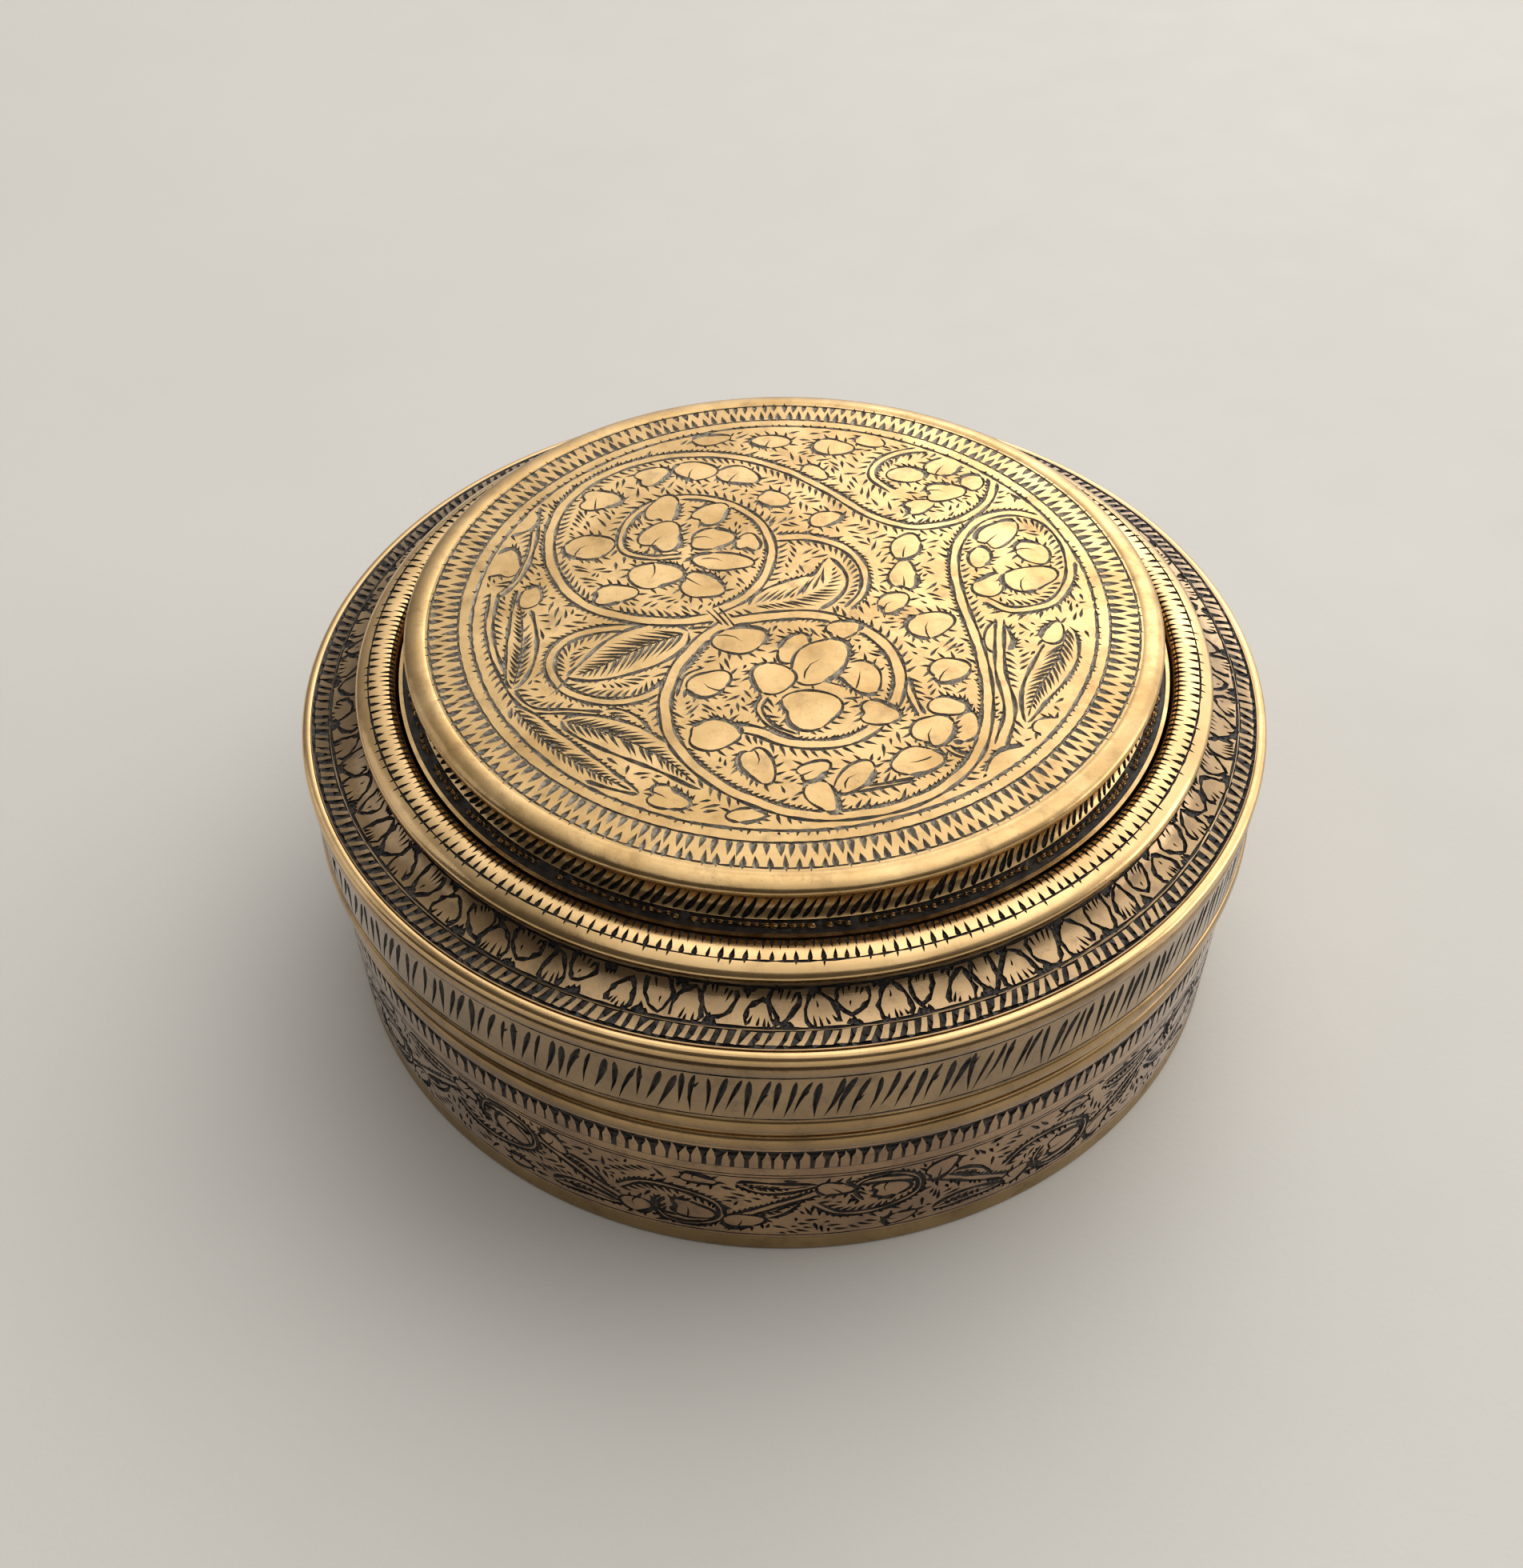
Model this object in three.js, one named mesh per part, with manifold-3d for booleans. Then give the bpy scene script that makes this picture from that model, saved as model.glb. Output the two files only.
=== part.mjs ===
// Brass spice box (masala dabba): a round engraved box with a lift-off stepped lid,
// an inner collar that locates the lid, seven loose cups and a small spoon.
// Millimetres, +Z up. The origin is the centre of the flat underside.

import * as THREE from 'three';
import { mergeVertices } from 'three/addons/utils/BufferGeometryUtils.js';
import Module from 'manifold-3d';

const wasm = await Module();
wasm.setup();

// ---------- driving dimensions ----------
const GAP = 0.3;                  // solder line or running gap between neighbouring pieces
const SHEET = 1.0;                // brass sheet thickness

const RIM_R = 70;                 // widest point of the lid, and of the box
const RIM_Z = 44.9;               // height of that widest point
const LID_BOTTOM_Z = 30;          // lower edge of the closed lid
const SKIRT_R = 69.6;             // outside of the lid's skirt
const SKIRT_BEAD_LOW_Z = 41.8;    // lower edge of the bead under the rim
const EDGE_BAND_R = 70;           // band that edges the lid's mouth
const EDGE_BAND_IN_R = 67.95;     // 0.5 mm clear of the collar
const EDGE_BAND_TOP_Z = 32.4;
const DISC_R = 53.9;              // outer edge of the lid's top disc
const DISC_Z = 58.2;              // top of the disc at its edge
const DISC_CROWN = 0.8;           // how far the disc's centre stands above its edge
const DISC_ROLL_R = 0.95;         // radius of the disc's rolled edge
const MOULDING_IN_R = 55.8;       // half-round moulding between neck and shoulder
const MOULDING_OUT_R = 61.65;
const MOULDING_CREST_R = 58.6;
const MOULDING_CREST_Z = 52.05;
const MOULDING_WIDEST_Z = 50.2;
const MOULDING_FOOT_Z = 49.55;
const NECK_R = 51.7;              // outside of the hollow neck under the disc
const SHOULDER_CREASE_R = 65.8;   // where the sloping shoulder meets its flat flange
const SHOULDER_CREASE_Z = 46.4;

const BASE_R = 68.4;              // outside of the body at the bottom
const BODY_TOP_R = 68.9;          // outside of the body wall under its rim band
const BASE_PLATE_T = 1.2;
const BASE_FLANGE_Z = 3.1;        // the base plate's edge turns up to here
const BODY_RIM_LOW_Z = 25.2;      // rounded bead that edges the body's mouth
const BODY_BEAD_TOP_Z = 27.5;
const BODY_LIP_R = 68.55;         // plain lip above the bead, where the lid comes down
const BODY_RIM_TOP_Z = 29.6;
const COLLAR_R = 67.45;           // collar that rises inside the lid
const COLLAR_LOW_Z = 20;
const COLLAR_TOP_Z = 35.5;

const CUP_COUNT = 6;              // cups round the centre cup
const CUP_R = 21.1;               // over the rolled rim
const CUP_H = 26;
const CUP_SHEET = 0.9;
const CUP_SPACING = 43.6;         // centre cup to outer cup
const CUP_FLOOR_Z = BASE_PLATE_T + GAP + 0.4;

const SPOON_BOWL_R = 8.5;
const SPOON_BOWL_DEPTH = 3.4;
const SPOON_SHEET = 0.9;
const SPOON_LENGTH = 54;          // bowl tip to handle end
const SPOON_HANDLE_W = 3.4;
const SPOON_HANDLE_T = 1.5;
const SPOON_TILT = 36;            // degrees, leaning on the centre cup's rim
const SPOON_TURN = 30;            // degrees about Z, into the gap between two cups
const SPOON_BOWL_X = -8.1;        // bowl centre inside the centre cup
const SPOON_BOWL_Z = 10.2;

const RING_SEGMENTS = 48;
const CUP_SEGMENTS = 24;
const CURVE_STEPS = 3;

// ---------- materials ----------
const brass = (color, roughness) =>
  new THREE.MeshStandardMaterial({ color, roughness, metalness: 1 });

const engravedBrass = brass(0xb98d4f, 0.38);
const polishedBrass = brass(0xd0a865, 0.22);
const darkBrass = brass(0x86683c, 0.45);
const cupBrass = brass(0xcaa35c, 0.3);

// ---------- helpers ----------
const box = new THREE.Group();
const degrees = THREE.MathUtils.degToRad;

// Outline in the (radius, height) half-plane, drawn by a callback on a THREE.Path.
function outline(draw, closed) {
  const path = new THREE.Path();
  draw(path);
  if (closed) path.closePath();
  return path.getPoints(CURVE_STEPS);
}

// Solid of revolution about Z. A ring closes on itself, a plate or bowl meets the axis.
function revolve(draw, { ring = false, segments = RING_SEGMENTS } = {}) {
  const geometry = new THREE.LatheGeometry(outline(draw, ring), segments);
  return geometry.rotateX(Math.PI / 2);
}

function add(name, geometry, material) {
  const mesh = new THREE.Mesh(geometry, material);
  mesh.name = name;
  box.add(mesh);
  return mesh;
}

function toManifold(geometry) {
  geometry.deleteAttribute('normal');
  geometry.deleteAttribute('uv');
  const merged = mergeVertices(geometry, 1e-4);
  const triVerts = removeSlivers(merged.index.array);
  const vertProperties = new Float32Array(merged.attributes.position.array);
  return new wasm.Manifold(new wasm.Mesh({ numProp: 3, vertProperties, triVerts }));
}

// Triangles that collapse onto the axis of a lathe have two equal corners.
function removeSlivers(index) {
  const kept = [];
  for (let i = 0; i < index.length; i += 3) {
    const [a, b, c] = [index[i], index[i + 1], index[i + 2]];
    if (a !== b && b !== c && c !== a) kept.push(a, b, c);
  }
  return new Uint32Array(kept);
}

function fromManifold(solid) {
  const mesh = solid.getMesh();
  const geometry = new THREE.BufferGeometry();
  geometry.setAttribute('position', new THREE.BufferAttribute(mesh.vertProperties, 3));
  geometry.setIndex(new THREE.BufferAttribute(mesh.triVerts, 1));
  geometry.computeVertexNormals();
  return geometry;
}

// ---------- body ----------
function basePlate(p) {
  p.moveTo(0, 0);
  p.lineTo(BASE_R - 0.6, 0);
  p.quadraticCurveTo(BASE_R, 0, BASE_R, 0.6);
  p.lineTo(BASE_R, BASE_FLANGE_Z);
  p.lineTo(BASE_R - SHEET, BASE_FLANGE_Z);
  p.lineTo(BASE_R - SHEET, BASE_PLATE_T + 0.4);
  p.lineTo(BASE_R - SHEET - 0.4, BASE_PLATE_T);
  p.lineTo(0, BASE_PLATE_T);
}

function bodyWall(p) {
  const low = BASE_FLANGE_Z + GAP;
  const high = BODY_RIM_LOW_Z - GAP;
  p.moveTo(BASE_R, low);
  p.lineTo(BODY_TOP_R, high);
  p.lineTo(BODY_TOP_R - SHEET, high);
  p.lineTo(BASE_R - SHEET, low);
}

function bodyRim(p) {
  const inner = COLLAR_R + GAP;
  const bulge = BODY_TOP_R + 0.85;
  const middle = (BODY_RIM_LOW_Z + BODY_BEAD_TOP_Z) / 2;
  p.moveTo(BODY_TOP_R, BODY_RIM_LOW_Z);
  p.quadraticCurveTo(bulge, middle, BODY_TOP_R - 0.2, BODY_BEAD_TOP_Z);
  p.lineTo(BODY_LIP_R, BODY_BEAD_TOP_Z + 0.3);
  p.lineTo(BODY_LIP_R, BODY_RIM_TOP_Z - 0.2);
  p.lineTo(BODY_LIP_R - 0.2, BODY_RIM_TOP_Z);
  p.lineTo(inner, BODY_RIM_TOP_Z);
  p.lineTo(inner, BODY_RIM_LOW_Z);
}

function collar(p) {
  const inner = COLLAR_R - SHEET + 0.1;
  p.moveTo(inner, COLLAR_LOW_Z);
  p.lineTo(COLLAR_R, COLLAR_LOW_Z);
  p.lineTo(COLLAR_R, COLLAR_TOP_Z - 1);
  p.quadraticCurveTo(COLLAR_R, COLLAR_TOP_Z, COLLAR_R - 0.5, COLLAR_TOP_Z);
  p.lineTo(inner - 0.1, COLLAR_TOP_Z - 0.2);
}

add('base_plate', revolve(basePlate), darkBrass);
add('body_wall', revolve(bodyWall, { ring: true }), engravedBrass);
add('body_rim', revolve(bodyRim, { ring: true }), polishedBrass);
add('inner_collar', revolve(collar, { ring: true }), darkBrass);

// ---------- lid ----------
function lidEdgeBand(p) {
  const low = LID_BOTTOM_Z;
  const high = EDGE_BAND_TOP_Z;
  p.moveTo(EDGE_BAND_IN_R, low + 0.3);
  p.lineTo(EDGE_BAND_IN_R + 0.3, low);
  p.lineTo(EDGE_BAND_R - 0.5, low);
  p.quadraticCurveTo(EDGE_BAND_R, low + 0.2, EDGE_BAND_R, (low + high) / 2);
  p.quadraticCurveTo(EDGE_BAND_R, high - 0.2, EDGE_BAND_R - 0.4, high);
  p.lineTo(EDGE_BAND_IN_R, high);
}

function lidSkirt(p) {
  const inner = SKIRT_R - SHEET - 0.2;
  const low = EDGE_BAND_TOP_Z + GAP;
  const high = RIM_Z - 1 - GAP;
  p.moveTo(inner, low);
  p.lineTo(SKIRT_R, low);
  p.lineTo(SKIRT_R - 0.1, SKIRT_BEAD_LOW_Z);
  p.quadraticCurveTo(RIM_R + 0.3, (SKIRT_BEAD_LOW_Z + high) / 2, SKIRT_R - 0.1, high);
  p.lineTo(inner, high);
}

function lidRim(p) {
  const inner = RIM_R - 1.1;
  p.moveTo(inner, RIM_Z - 1);
  p.lineTo(RIM_R - 0.4, RIM_Z - 0.95);
  p.quadraticCurveTo(RIM_R, RIM_Z - 0.6, RIM_R, RIM_Z);
  p.quadraticCurveTo(RIM_R, RIM_Z + 0.9, inner, RIM_Z + 1);
}

function lidShoulder(p) {
  const edge = RIM_R - 1.4;
  const inner = MOULDING_IN_R - 1.8;
  const flatZ = MOULDING_FOOT_Z - GAP;
  const creaseR = SHOULDER_CREASE_R;
  const creaseZ = SHOULDER_CREASE_Z;
  const wallR = MOULDING_OUT_R - 1;
  p.moveTo(inner, flatZ - SHEET);
  p.lineTo(wallR - 0.7, flatZ - SHEET);
  p.quadraticCurveTo(wallR + 0.5, creaseZ - 0.5, creaseR - 0.2, creaseZ - SHEET);
  p.lineTo(edge, RIM_Z + 0.05);
  p.lineTo(edge, RIM_Z + 1.05);
  p.lineTo(creaseR + 0.15, creaseZ - 0.2);
  p.lineTo(creaseR, creaseZ);
  p.quadraticCurveTo(wallR + 0.9, creaseZ + 0.7, wallR, flatZ);
  p.lineTo(inner, flatZ);
}

function lidMoulding(p) {
  p.moveTo(MOULDING_IN_R + 0.6, MOULDING_FOOT_Z);
  p.lineTo(MOULDING_OUT_R - 0.6, MOULDING_FOOT_Z);
  p.quadraticCurveTo(MOULDING_OUT_R, MOULDING_FOOT_Z, MOULDING_OUT_R, MOULDING_WIDEST_Z);
  p.quadraticCurveTo(
    MOULDING_OUT_R - 0.5, MOULDING_CREST_Z, MOULDING_CREST_R, MOULDING_CREST_Z);
  p.quadraticCurveTo(
    MOULDING_IN_R + 0.3, MOULDING_CREST_Z, MOULDING_IN_R, MOULDING_WIDEST_Z + 0.4);
  p.lineTo(MOULDING_IN_R, MOULDING_FOOT_Z + 0.5);
}

function lidNeck(p) {
  const top = DISC_Z - 2 * DISC_ROLL_R - 0.95;
  const foot = MOULDING_FOOT_Z;
  const flareZ = MOULDING_CREST_Z - 0.5;
  const footR = MOULDING_IN_R - GAP - 0.1;
  p.moveTo(footR - SHEET, foot);
  p.lineTo(footR, foot);
  p.lineTo(footR, flareZ);
  p.quadraticCurveTo(NECK_R - 0.3, flareZ + 0.2, NECK_R, top);
  p.lineTo(NECK_R - SHEET, top);
  p.quadraticCurveTo(NECK_R - 1.4, flareZ - 0.3, footR - SHEET, flareZ - 0.8);
}

function lidTopDisc(p) {
  const roll = DISC_R - DISC_ROLL_R;
  const rollZ = DISC_Z - DISC_ROLL_R;
  const inside = roll - 2.3;
  p.moveTo(0, DISC_Z + DISC_CROWN - 1.1);
  p.quadraticCurveTo(inside / 2, DISC_Z + DISC_CROWN - 1.1, inside, DISC_Z - 1.1);
  p.lineTo(inside, rollZ - DISC_ROLL_R - 0.6);
  p.lineTo(roll, rollZ - DISC_ROLL_R);
  p.absarc(roll, rollZ, DISC_ROLL_R, -Math.PI / 2, Math.PI / 2, false);
  p.quadraticCurveTo(roll / 2, DISC_Z + DISC_CROWN, 0, DISC_Z + DISC_CROWN);
}

add('lid_edge_band', revolve(lidEdgeBand, { ring: true }), polishedBrass);
add('lid_skirt', revolve(lidSkirt, { ring: true }), engravedBrass);
add('lid_rim', revolve(lidRim, { ring: true }), polishedBrass);
add('lid_shoulder', revolve(lidShoulder, { ring: true }), engravedBrass);
add('lid_moulding', revolve(lidMoulding, { ring: true }), engravedBrass);
add('lid_neck', revolve(lidNeck, { ring: true }), darkBrass);
add('lid_top_disc', revolve(lidTopDisc), engravedBrass);

// ---------- cups ----------
function cup(p) {
  const footR = 15;
  const wallR = CUP_R - 0.7;
  const rimLow = CUP_H - 1.4;
  p.moveTo(0, 0);
  p.lineTo(footR, 0);
  p.quadraticCurveTo(wallR, 0.3, wallR, 7);
  p.lineTo(wallR, rimLow);
  p.lineTo(CUP_R, rimLow + 0.4);
  p.lineTo(CUP_R, CUP_H - 0.3);
  p.lineTo(CUP_R - 0.5, CUP_H);
  p.lineTo(wallR - CUP_SHEET, CUP_H - 0.2);
  p.lineTo(wallR - CUP_SHEET, 7);
  p.quadraticCurveTo(wallR - CUP_SHEET, CUP_SHEET + 0.3, footR - 0.6, CUP_SHEET);
  p.lineTo(0, CUP_SHEET);
}

function addCup(name, x, y) {
  const mesh = add(name, revolve(cup, { segments: CUP_SEGMENTS }), cupBrass);
  mesh.position.set(x, y, CUP_FLOOR_Z);
}

addCup('cup_centre', 0, 0);
for (let i = 0; i < CUP_COUNT; i += 1) {
  const angle = (2 * Math.PI * i) / CUP_COUNT;
  addCup(`cup_${i + 1}`, CUP_SPACING * Math.cos(angle), CUP_SPACING * Math.sin(angle));
}

// ---------- spoon ----------
function spoonBowl(p) {
  p.moveTo(0, -SPOON_BOWL_DEPTH - SPOON_SHEET);
  p.quadraticCurveTo(SPOON_BOWL_R - 1, -SPOON_BOWL_DEPTH - SPOON_SHEET, SPOON_BOWL_R, 0);
  p.lineTo(SPOON_BOWL_R - SPOON_SHEET, 0);
  p.quadraticCurveTo(SPOON_BOWL_R - 2, -SPOON_BOWL_DEPTH, 0, -SPOON_BOWL_DEPTH);
}

// Flat tapering strip with a rounded end, lying along +X from the edge of the bowl.
function spoonHandle() {
  const start = SPOON_BOWL_R - 0.8;
  const end = SPOON_LENGTH - SPOON_BOWL_R;
  const half = SPOON_HANDLE_W / 2;
  const shape = new THREE.Shape();
  shape.moveTo(start, -half);
  shape.lineTo(start + 12, -half * 0.7);
  shape.lineTo(end - half * 1.2, -half * 1.2);
  shape.absarc(end - half * 1.2, 0, half * 1.2, -Math.PI / 2, Math.PI / 2, false);
  shape.lineTo(start + 12, half * 0.7);
  shape.lineTo(start, half);
  const options = { depth: SPOON_HANDLE_T, bevelEnabled: false, curveSegments: CURVE_STEPS };
  return new THREE.ExtrudeGeometry(shape, options).translate(0, 0, -SPOON_HANDLE_T);
}

const bowl = toManifold(revolve(spoonBowl, { segments: 24 }));
const spoon = add('spoon', fromManifold(bowl.add(toManifold(spoonHandle()))), polishedBrass);
const lean = new THREE.Group();
lean.rotation.z = degrees(SPOON_TURN);
spoon.rotation.y = -degrees(SPOON_TILT);
spoon.position.set(SPOON_BOWL_X, 0, SPOON_BOWL_Z);
lean.add(spoon);
box.add(lean);

export default box;
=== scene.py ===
import math
import random

import bpy
import numpy as np
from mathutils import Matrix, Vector, geometry


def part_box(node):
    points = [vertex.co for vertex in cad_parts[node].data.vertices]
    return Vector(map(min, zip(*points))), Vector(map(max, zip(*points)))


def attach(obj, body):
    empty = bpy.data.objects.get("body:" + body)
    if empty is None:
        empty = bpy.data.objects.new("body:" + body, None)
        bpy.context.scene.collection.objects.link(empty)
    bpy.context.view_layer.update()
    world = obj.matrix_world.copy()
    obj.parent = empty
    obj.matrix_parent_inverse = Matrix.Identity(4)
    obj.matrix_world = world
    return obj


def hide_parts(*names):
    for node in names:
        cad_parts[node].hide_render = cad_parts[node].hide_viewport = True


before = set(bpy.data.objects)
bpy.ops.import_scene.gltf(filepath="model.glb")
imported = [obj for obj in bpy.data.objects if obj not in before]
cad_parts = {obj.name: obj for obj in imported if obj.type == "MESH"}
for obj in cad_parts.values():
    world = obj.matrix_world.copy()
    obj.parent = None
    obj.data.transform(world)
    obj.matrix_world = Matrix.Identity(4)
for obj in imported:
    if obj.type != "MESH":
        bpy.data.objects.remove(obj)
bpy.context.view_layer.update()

TAU = 2 * math.pi
MM = 0.001
TURNS = 360                 # points round every turned piece
CUT_DEPTH = 0.32            # mm, deepest graver cut
GROUND_DEPTH = 0.3          # mm, ground beaten down round raised lands
SHEET = 1.0                 # mm, brass sheet of the walls
SKIRT_R = 69.6              # mm, outside of the lid's skirt


def add_object(name, data):
    """New object of the scene that shows the given mesh, light or camera."""
    made = bpy.data.objects.new(name, data)
    bpy.context.scene.collection.objects.link(made)
    return made


def size_of(node):
    """Outer radius, lowest and highest point of a turned CAD node, in mm."""
    low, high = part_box(node)
    return high.x / MM, low.z / MM, high.z / MM


# ---------------------------------------------------------------- profiles
def bend(*points, steps=5):
    """Smooth (radius, height) run: start, then pairs of control point and end."""
    run = [points[0]]
    for k in range(1, len(points) - 1, 2):
        (ax, ay), (bx, by), (cx, cy) = run[-1], points[k], points[k + 1]
        for i in range(1, steps + 1):
            t = i / steps
            run.append(((1 - t) ** 2 * ax + 2 * t * (1 - t) * bx + t * t * cx,
                        (1 - t) ** 2 * ay + 2 * t * (1 - t) * by + t * t * cy))
    return run


def flats(*points):
    """Straight runs from each (radius, height) point to the next, with a sharp corner at each."""
    return [[a, b] for a, b in zip(points, points[1:])]


def normals_along(run):
    """Outward normals of a run that travels outwards and then down."""
    p = np.array(run, float)
    step = np.diff(p, axis=0)
    step /= np.linalg.norm(step, axis=1)[:, None]
    n = np.stack([-step[:, 1], step[:, 0]], 1)
    full = np.vstack([n[:1], n[:-1] + n[1:], n[-1:]])
    return full / np.linalg.norm(full, axis=1)[:, None]


THETA = np.arange(TURNS) * TAU / TURNS
COS, SIN = np.cos(THETA), np.sin(THETA)


class Shell:
    """Mesh under construction: points in mm, faces, a material index and corner normals."""

    def __init__(self):
        self.points, self.faces, self.slots, self.normals = [], [], [], []

    def ring(self, r, z):
        first = len(self.points)
        if r < 1e-6:
            self.points.append((0.0, 0.0, z))
            return [first] * TURNS
        self.points.extend(zip(r * COS, r * SIN, [z] * TURNS))
        return list(range(first, first + TURNS))

    def run(self, run, first=None, last=None):
        """Sweeps a run round the axis, from an existing ring to an existing ring if given."""
        n = normals_along(run)
        rings = [self.ring(*p) for p in run[1 if first else 0:len(run) - (1 if last else 0)]]
        if first:
            rings.insert(0, first)
        if last:
            rings.append(last)
        corner = [[(a * c, a * s, b) for c, s in zip(COS, SIN)] for a, b in n]
        for k in range(len(rings) - 1):
            upper, lower = rings[k], rings[k + 1]
            for i in range(TURNS):
                j = (i + 1) % TURNS
                ids = [upper[i], lower[i], lower[j], upper[j]]
                cn = [corner[k][i], corner[k + 1][i], corner[k + 1][j], corner[k][j]]
                if ids[0] == ids[3]:
                    ids, cn = ids[:3], cn[:3]
                elif ids[1] == ids[2]:
                    ids, cn = [ids[0], ids[1], ids[3]], [cn[0], cn[1], cn[3]]
                self.faces.append(ids)
                self.normals.extend(cn)
                self.slots.append(0)
        return rings

    def build(self, name, body, nodes, materials, at=(0, 0, 0)):
        mesh = bpy.data.meshes.new(name)
        scaled = [((x + at[0]) * MM, (y + at[1]) * MM, (z + at[2]) * MM) for x, y, z in self.points]
        mesh.from_pydata(scaled, [], self.faces)
        mesh.polygons.foreach_set("use_smooth", [True] * len(self.faces))
        mesh.polygons.foreach_set("material_index", self.slots)
        mesh.update()
        mesh.normals_split_custom_set(self.normals)
        for m in materials:
            mesh.materials.append(m)
        piece = add_object(name, mesh)
        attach(piece, body)
        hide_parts(*nodes)


def turned(name, body, node, materials, runs, at=(0, 0, 0)):
    """Plain turned piece. The runs follow each other round a closed profile or from axis to axis."""
    shell = Shell()
    rings = shell.run(runs[0])
    start, last = rings[0], rings[-1]
    closed = math.dist(runs[0][0], runs[-1][-1]) < 1e-6
    for k, run in enumerate(runs[1:], 2):
        end = start if closed and k == len(runs) else None
        last = shell.run(run, first=last, last=end)[-1]
    shell.build(name, body, [node], materials, at)


# ---------------------------------------------------------------- engraving
LAND, CUT, ISLAND, BEAD = range(4)
BEAD_SIDES = 8


def twice_area(a, b, c):
    """Twice the area of a triangle on the plane, negative if it runs clockwise."""
    return (b[0] - a[0]) * (c[1] - a[1]) - (b[1] - a[1]) * (c[0] - a[0])


def unit(vectors):
    """The same directions with length one."""
    return vectors / np.maximum(np.linalg.norm(vectors, axis=1), 1e-12)[:, None]


class Relief:
    """Engraved surface of revolution.

    The profile is unrolled on a plane as rings round a hub, the outlines of the cuts are
    drawn there, and the triangulation keeps every outline as a crisp edge. `hub` is the radius
    on the plane where the profile starts, and `ref` the radius at which distances round a band
    are measured. `ground` lists the stretches that are beaten down, and `plain_rings` those
    that need fewer points round."""

    def __init__(self, runs, hub, ref, ground=(), plain_rings=()):
        self.hub, self.ref, self.ground = hub, ref, ground
        self.co, self.edges, self.faces, self.kinds, self.deep = [], set(), [], [], {}
        self.spans, s = [], 0.0
        for run in runs:
            p = np.array(run, float)
            d = np.concatenate([[0], np.cumsum(np.linalg.norm(np.diff(p, axis=0), axis=1))])
            self.spans.append((s + d, p, normals_along(run)))
            s += d[-1]
        self.length = s
        self.first = self.last = None
        for k, (ss, _, _) in enumerate(self.spans):
            for v in ss if k == 0 else ss[1:]:
                if hub + v < 1e-6:
                    self.co.append((0.0, 0.0))
                    continue
                if any(a <= v <= b for a, b in plain_rings):
                    self.circle(v, TURNS // 4, False)
                    continue
                self.last = self.circle(v, TURNS, True)
                if self.first is None:
                    self.first = self.last
        for a, b in ground:
            self.circle(a, TURNS, True)
            self.circle(b, TURNS, True)

    def circle(self, v, count, linked):
        first = len(self.co)
        r = self.hub + v
        angles = (TAU * i / count for i in range(count))
        self.co.extend((r * math.cos(a), r * math.sin(a)) for a in angles)
        if linked:
            self.edges.update((first + i, first + (i + 1) % count) for i in range(count))
        return list(range(first, first + count))

    def band(self, u, v):
        """Band coordinates (mm round, mm down the profile) to the plane."""
        v = min(max(v, 0.04), self.length - 0.04)
        r, a = self.hub + v, u / self.ref
        return r * math.cos(a), r * math.sin(a)

    def put(self, q, deep=None):
        self.co.append(q)
        if deep is not None:
            self.deep[len(self.co) - 1] = deep
        return len(self.co) - 1

    def tri(self, a, b, c, kind):
        if a == b or b == c or a == c:
            return
        area = twice_area(self.co[a], self.co[b], self.co[c])
        if abs(area) < 1e-7:
            return
        self.faces.append((a, b, c) if area > 0 else (a, c, b))
        self.kinds.append(kind)
        self.edges.update((min(pair), max(pair)) for pair in ((a, b), (b, c), (a, c)))

    def kinds_at(self, places):
        """Which kinds of drawn triangle lie over each place on the plane."""
        cells, size = {}, 0.7
        for (a, b, c), kind in zip(self.faces, self.kinds):
            (ax, ay), (bx, by), (cx, cy) = self.co[a], self.co[b], self.co[c]
            item = (ax, ay, bx, by, cx, cy, kind)
            for i in range(int(min(ax, bx, cx) // size), int(max(ax, bx, cx) // size) + 1):
                for j in range(int(min(ay, by, cy) // size), int(max(ay, by, cy) // size) + 1):
                    cells.setdefault((i, j), []).append(item)
        found = []
        for x, y in places:
            what = set()
            for ax, ay, bx, by, cx, cy, kind in cells.get((int(x // size), int(y // size)), ()):
                if kind not in what and (bx - ax) * (y - ay) >= (by - ay) * (x - ax) and (
                        cx - bx) * (y - by) >= (cy - by) * (x - bx) and (
                        ax - cx) * (y - cy) >= (ay - cy) * (x - cx):
                    what.add(kind)
            found.append(what)
        return found

    def stroke(self, pts, half, place=None, deep=CUT_DEPTH, closed=False):
        """Graver cut with a half width at each point, deepest on its centre line where it is wide."""
        place = place or (lambda q: self.band(*q))
        p = np.array(pts, float)
        n = len(p)
        if closed:
            t = np.roll(p, -1, 0) - np.roll(p, 1, 0)
        else:
            t = np.gradient(p, axis=0)
        t /= np.maximum(np.linalg.norm(t, axis=1), 1e-9)[:, None]
        side = np.stack([-t[:, 1], t[:, 0]], 1)
        rows = []
        for i in range(n):
            h = half[i]
            c = self.put(place(p[i]), min(deep, 0.12 + 0.9 * h))
            if h < 0.02:
                rows.append((c, c, c))
            else:
                left = self.put(place(p[i] + side[i] * h))
                right = self.put(place(p[i] - side[i] * h))
                rows.append((left, c, right))
        for i in range(n if closed else n - 1):
            (l0, c0, r0), (l1, c1, r1) = rows[i], rows[(i + 1) % n]
            self.tri(c0, c1, l1, CUT)
            self.tri(c0, l1, l0, CUT)
            self.tri(r0, r1, c1, CUT)
            self.tri(r0, c1, c0, CUT)

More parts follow.
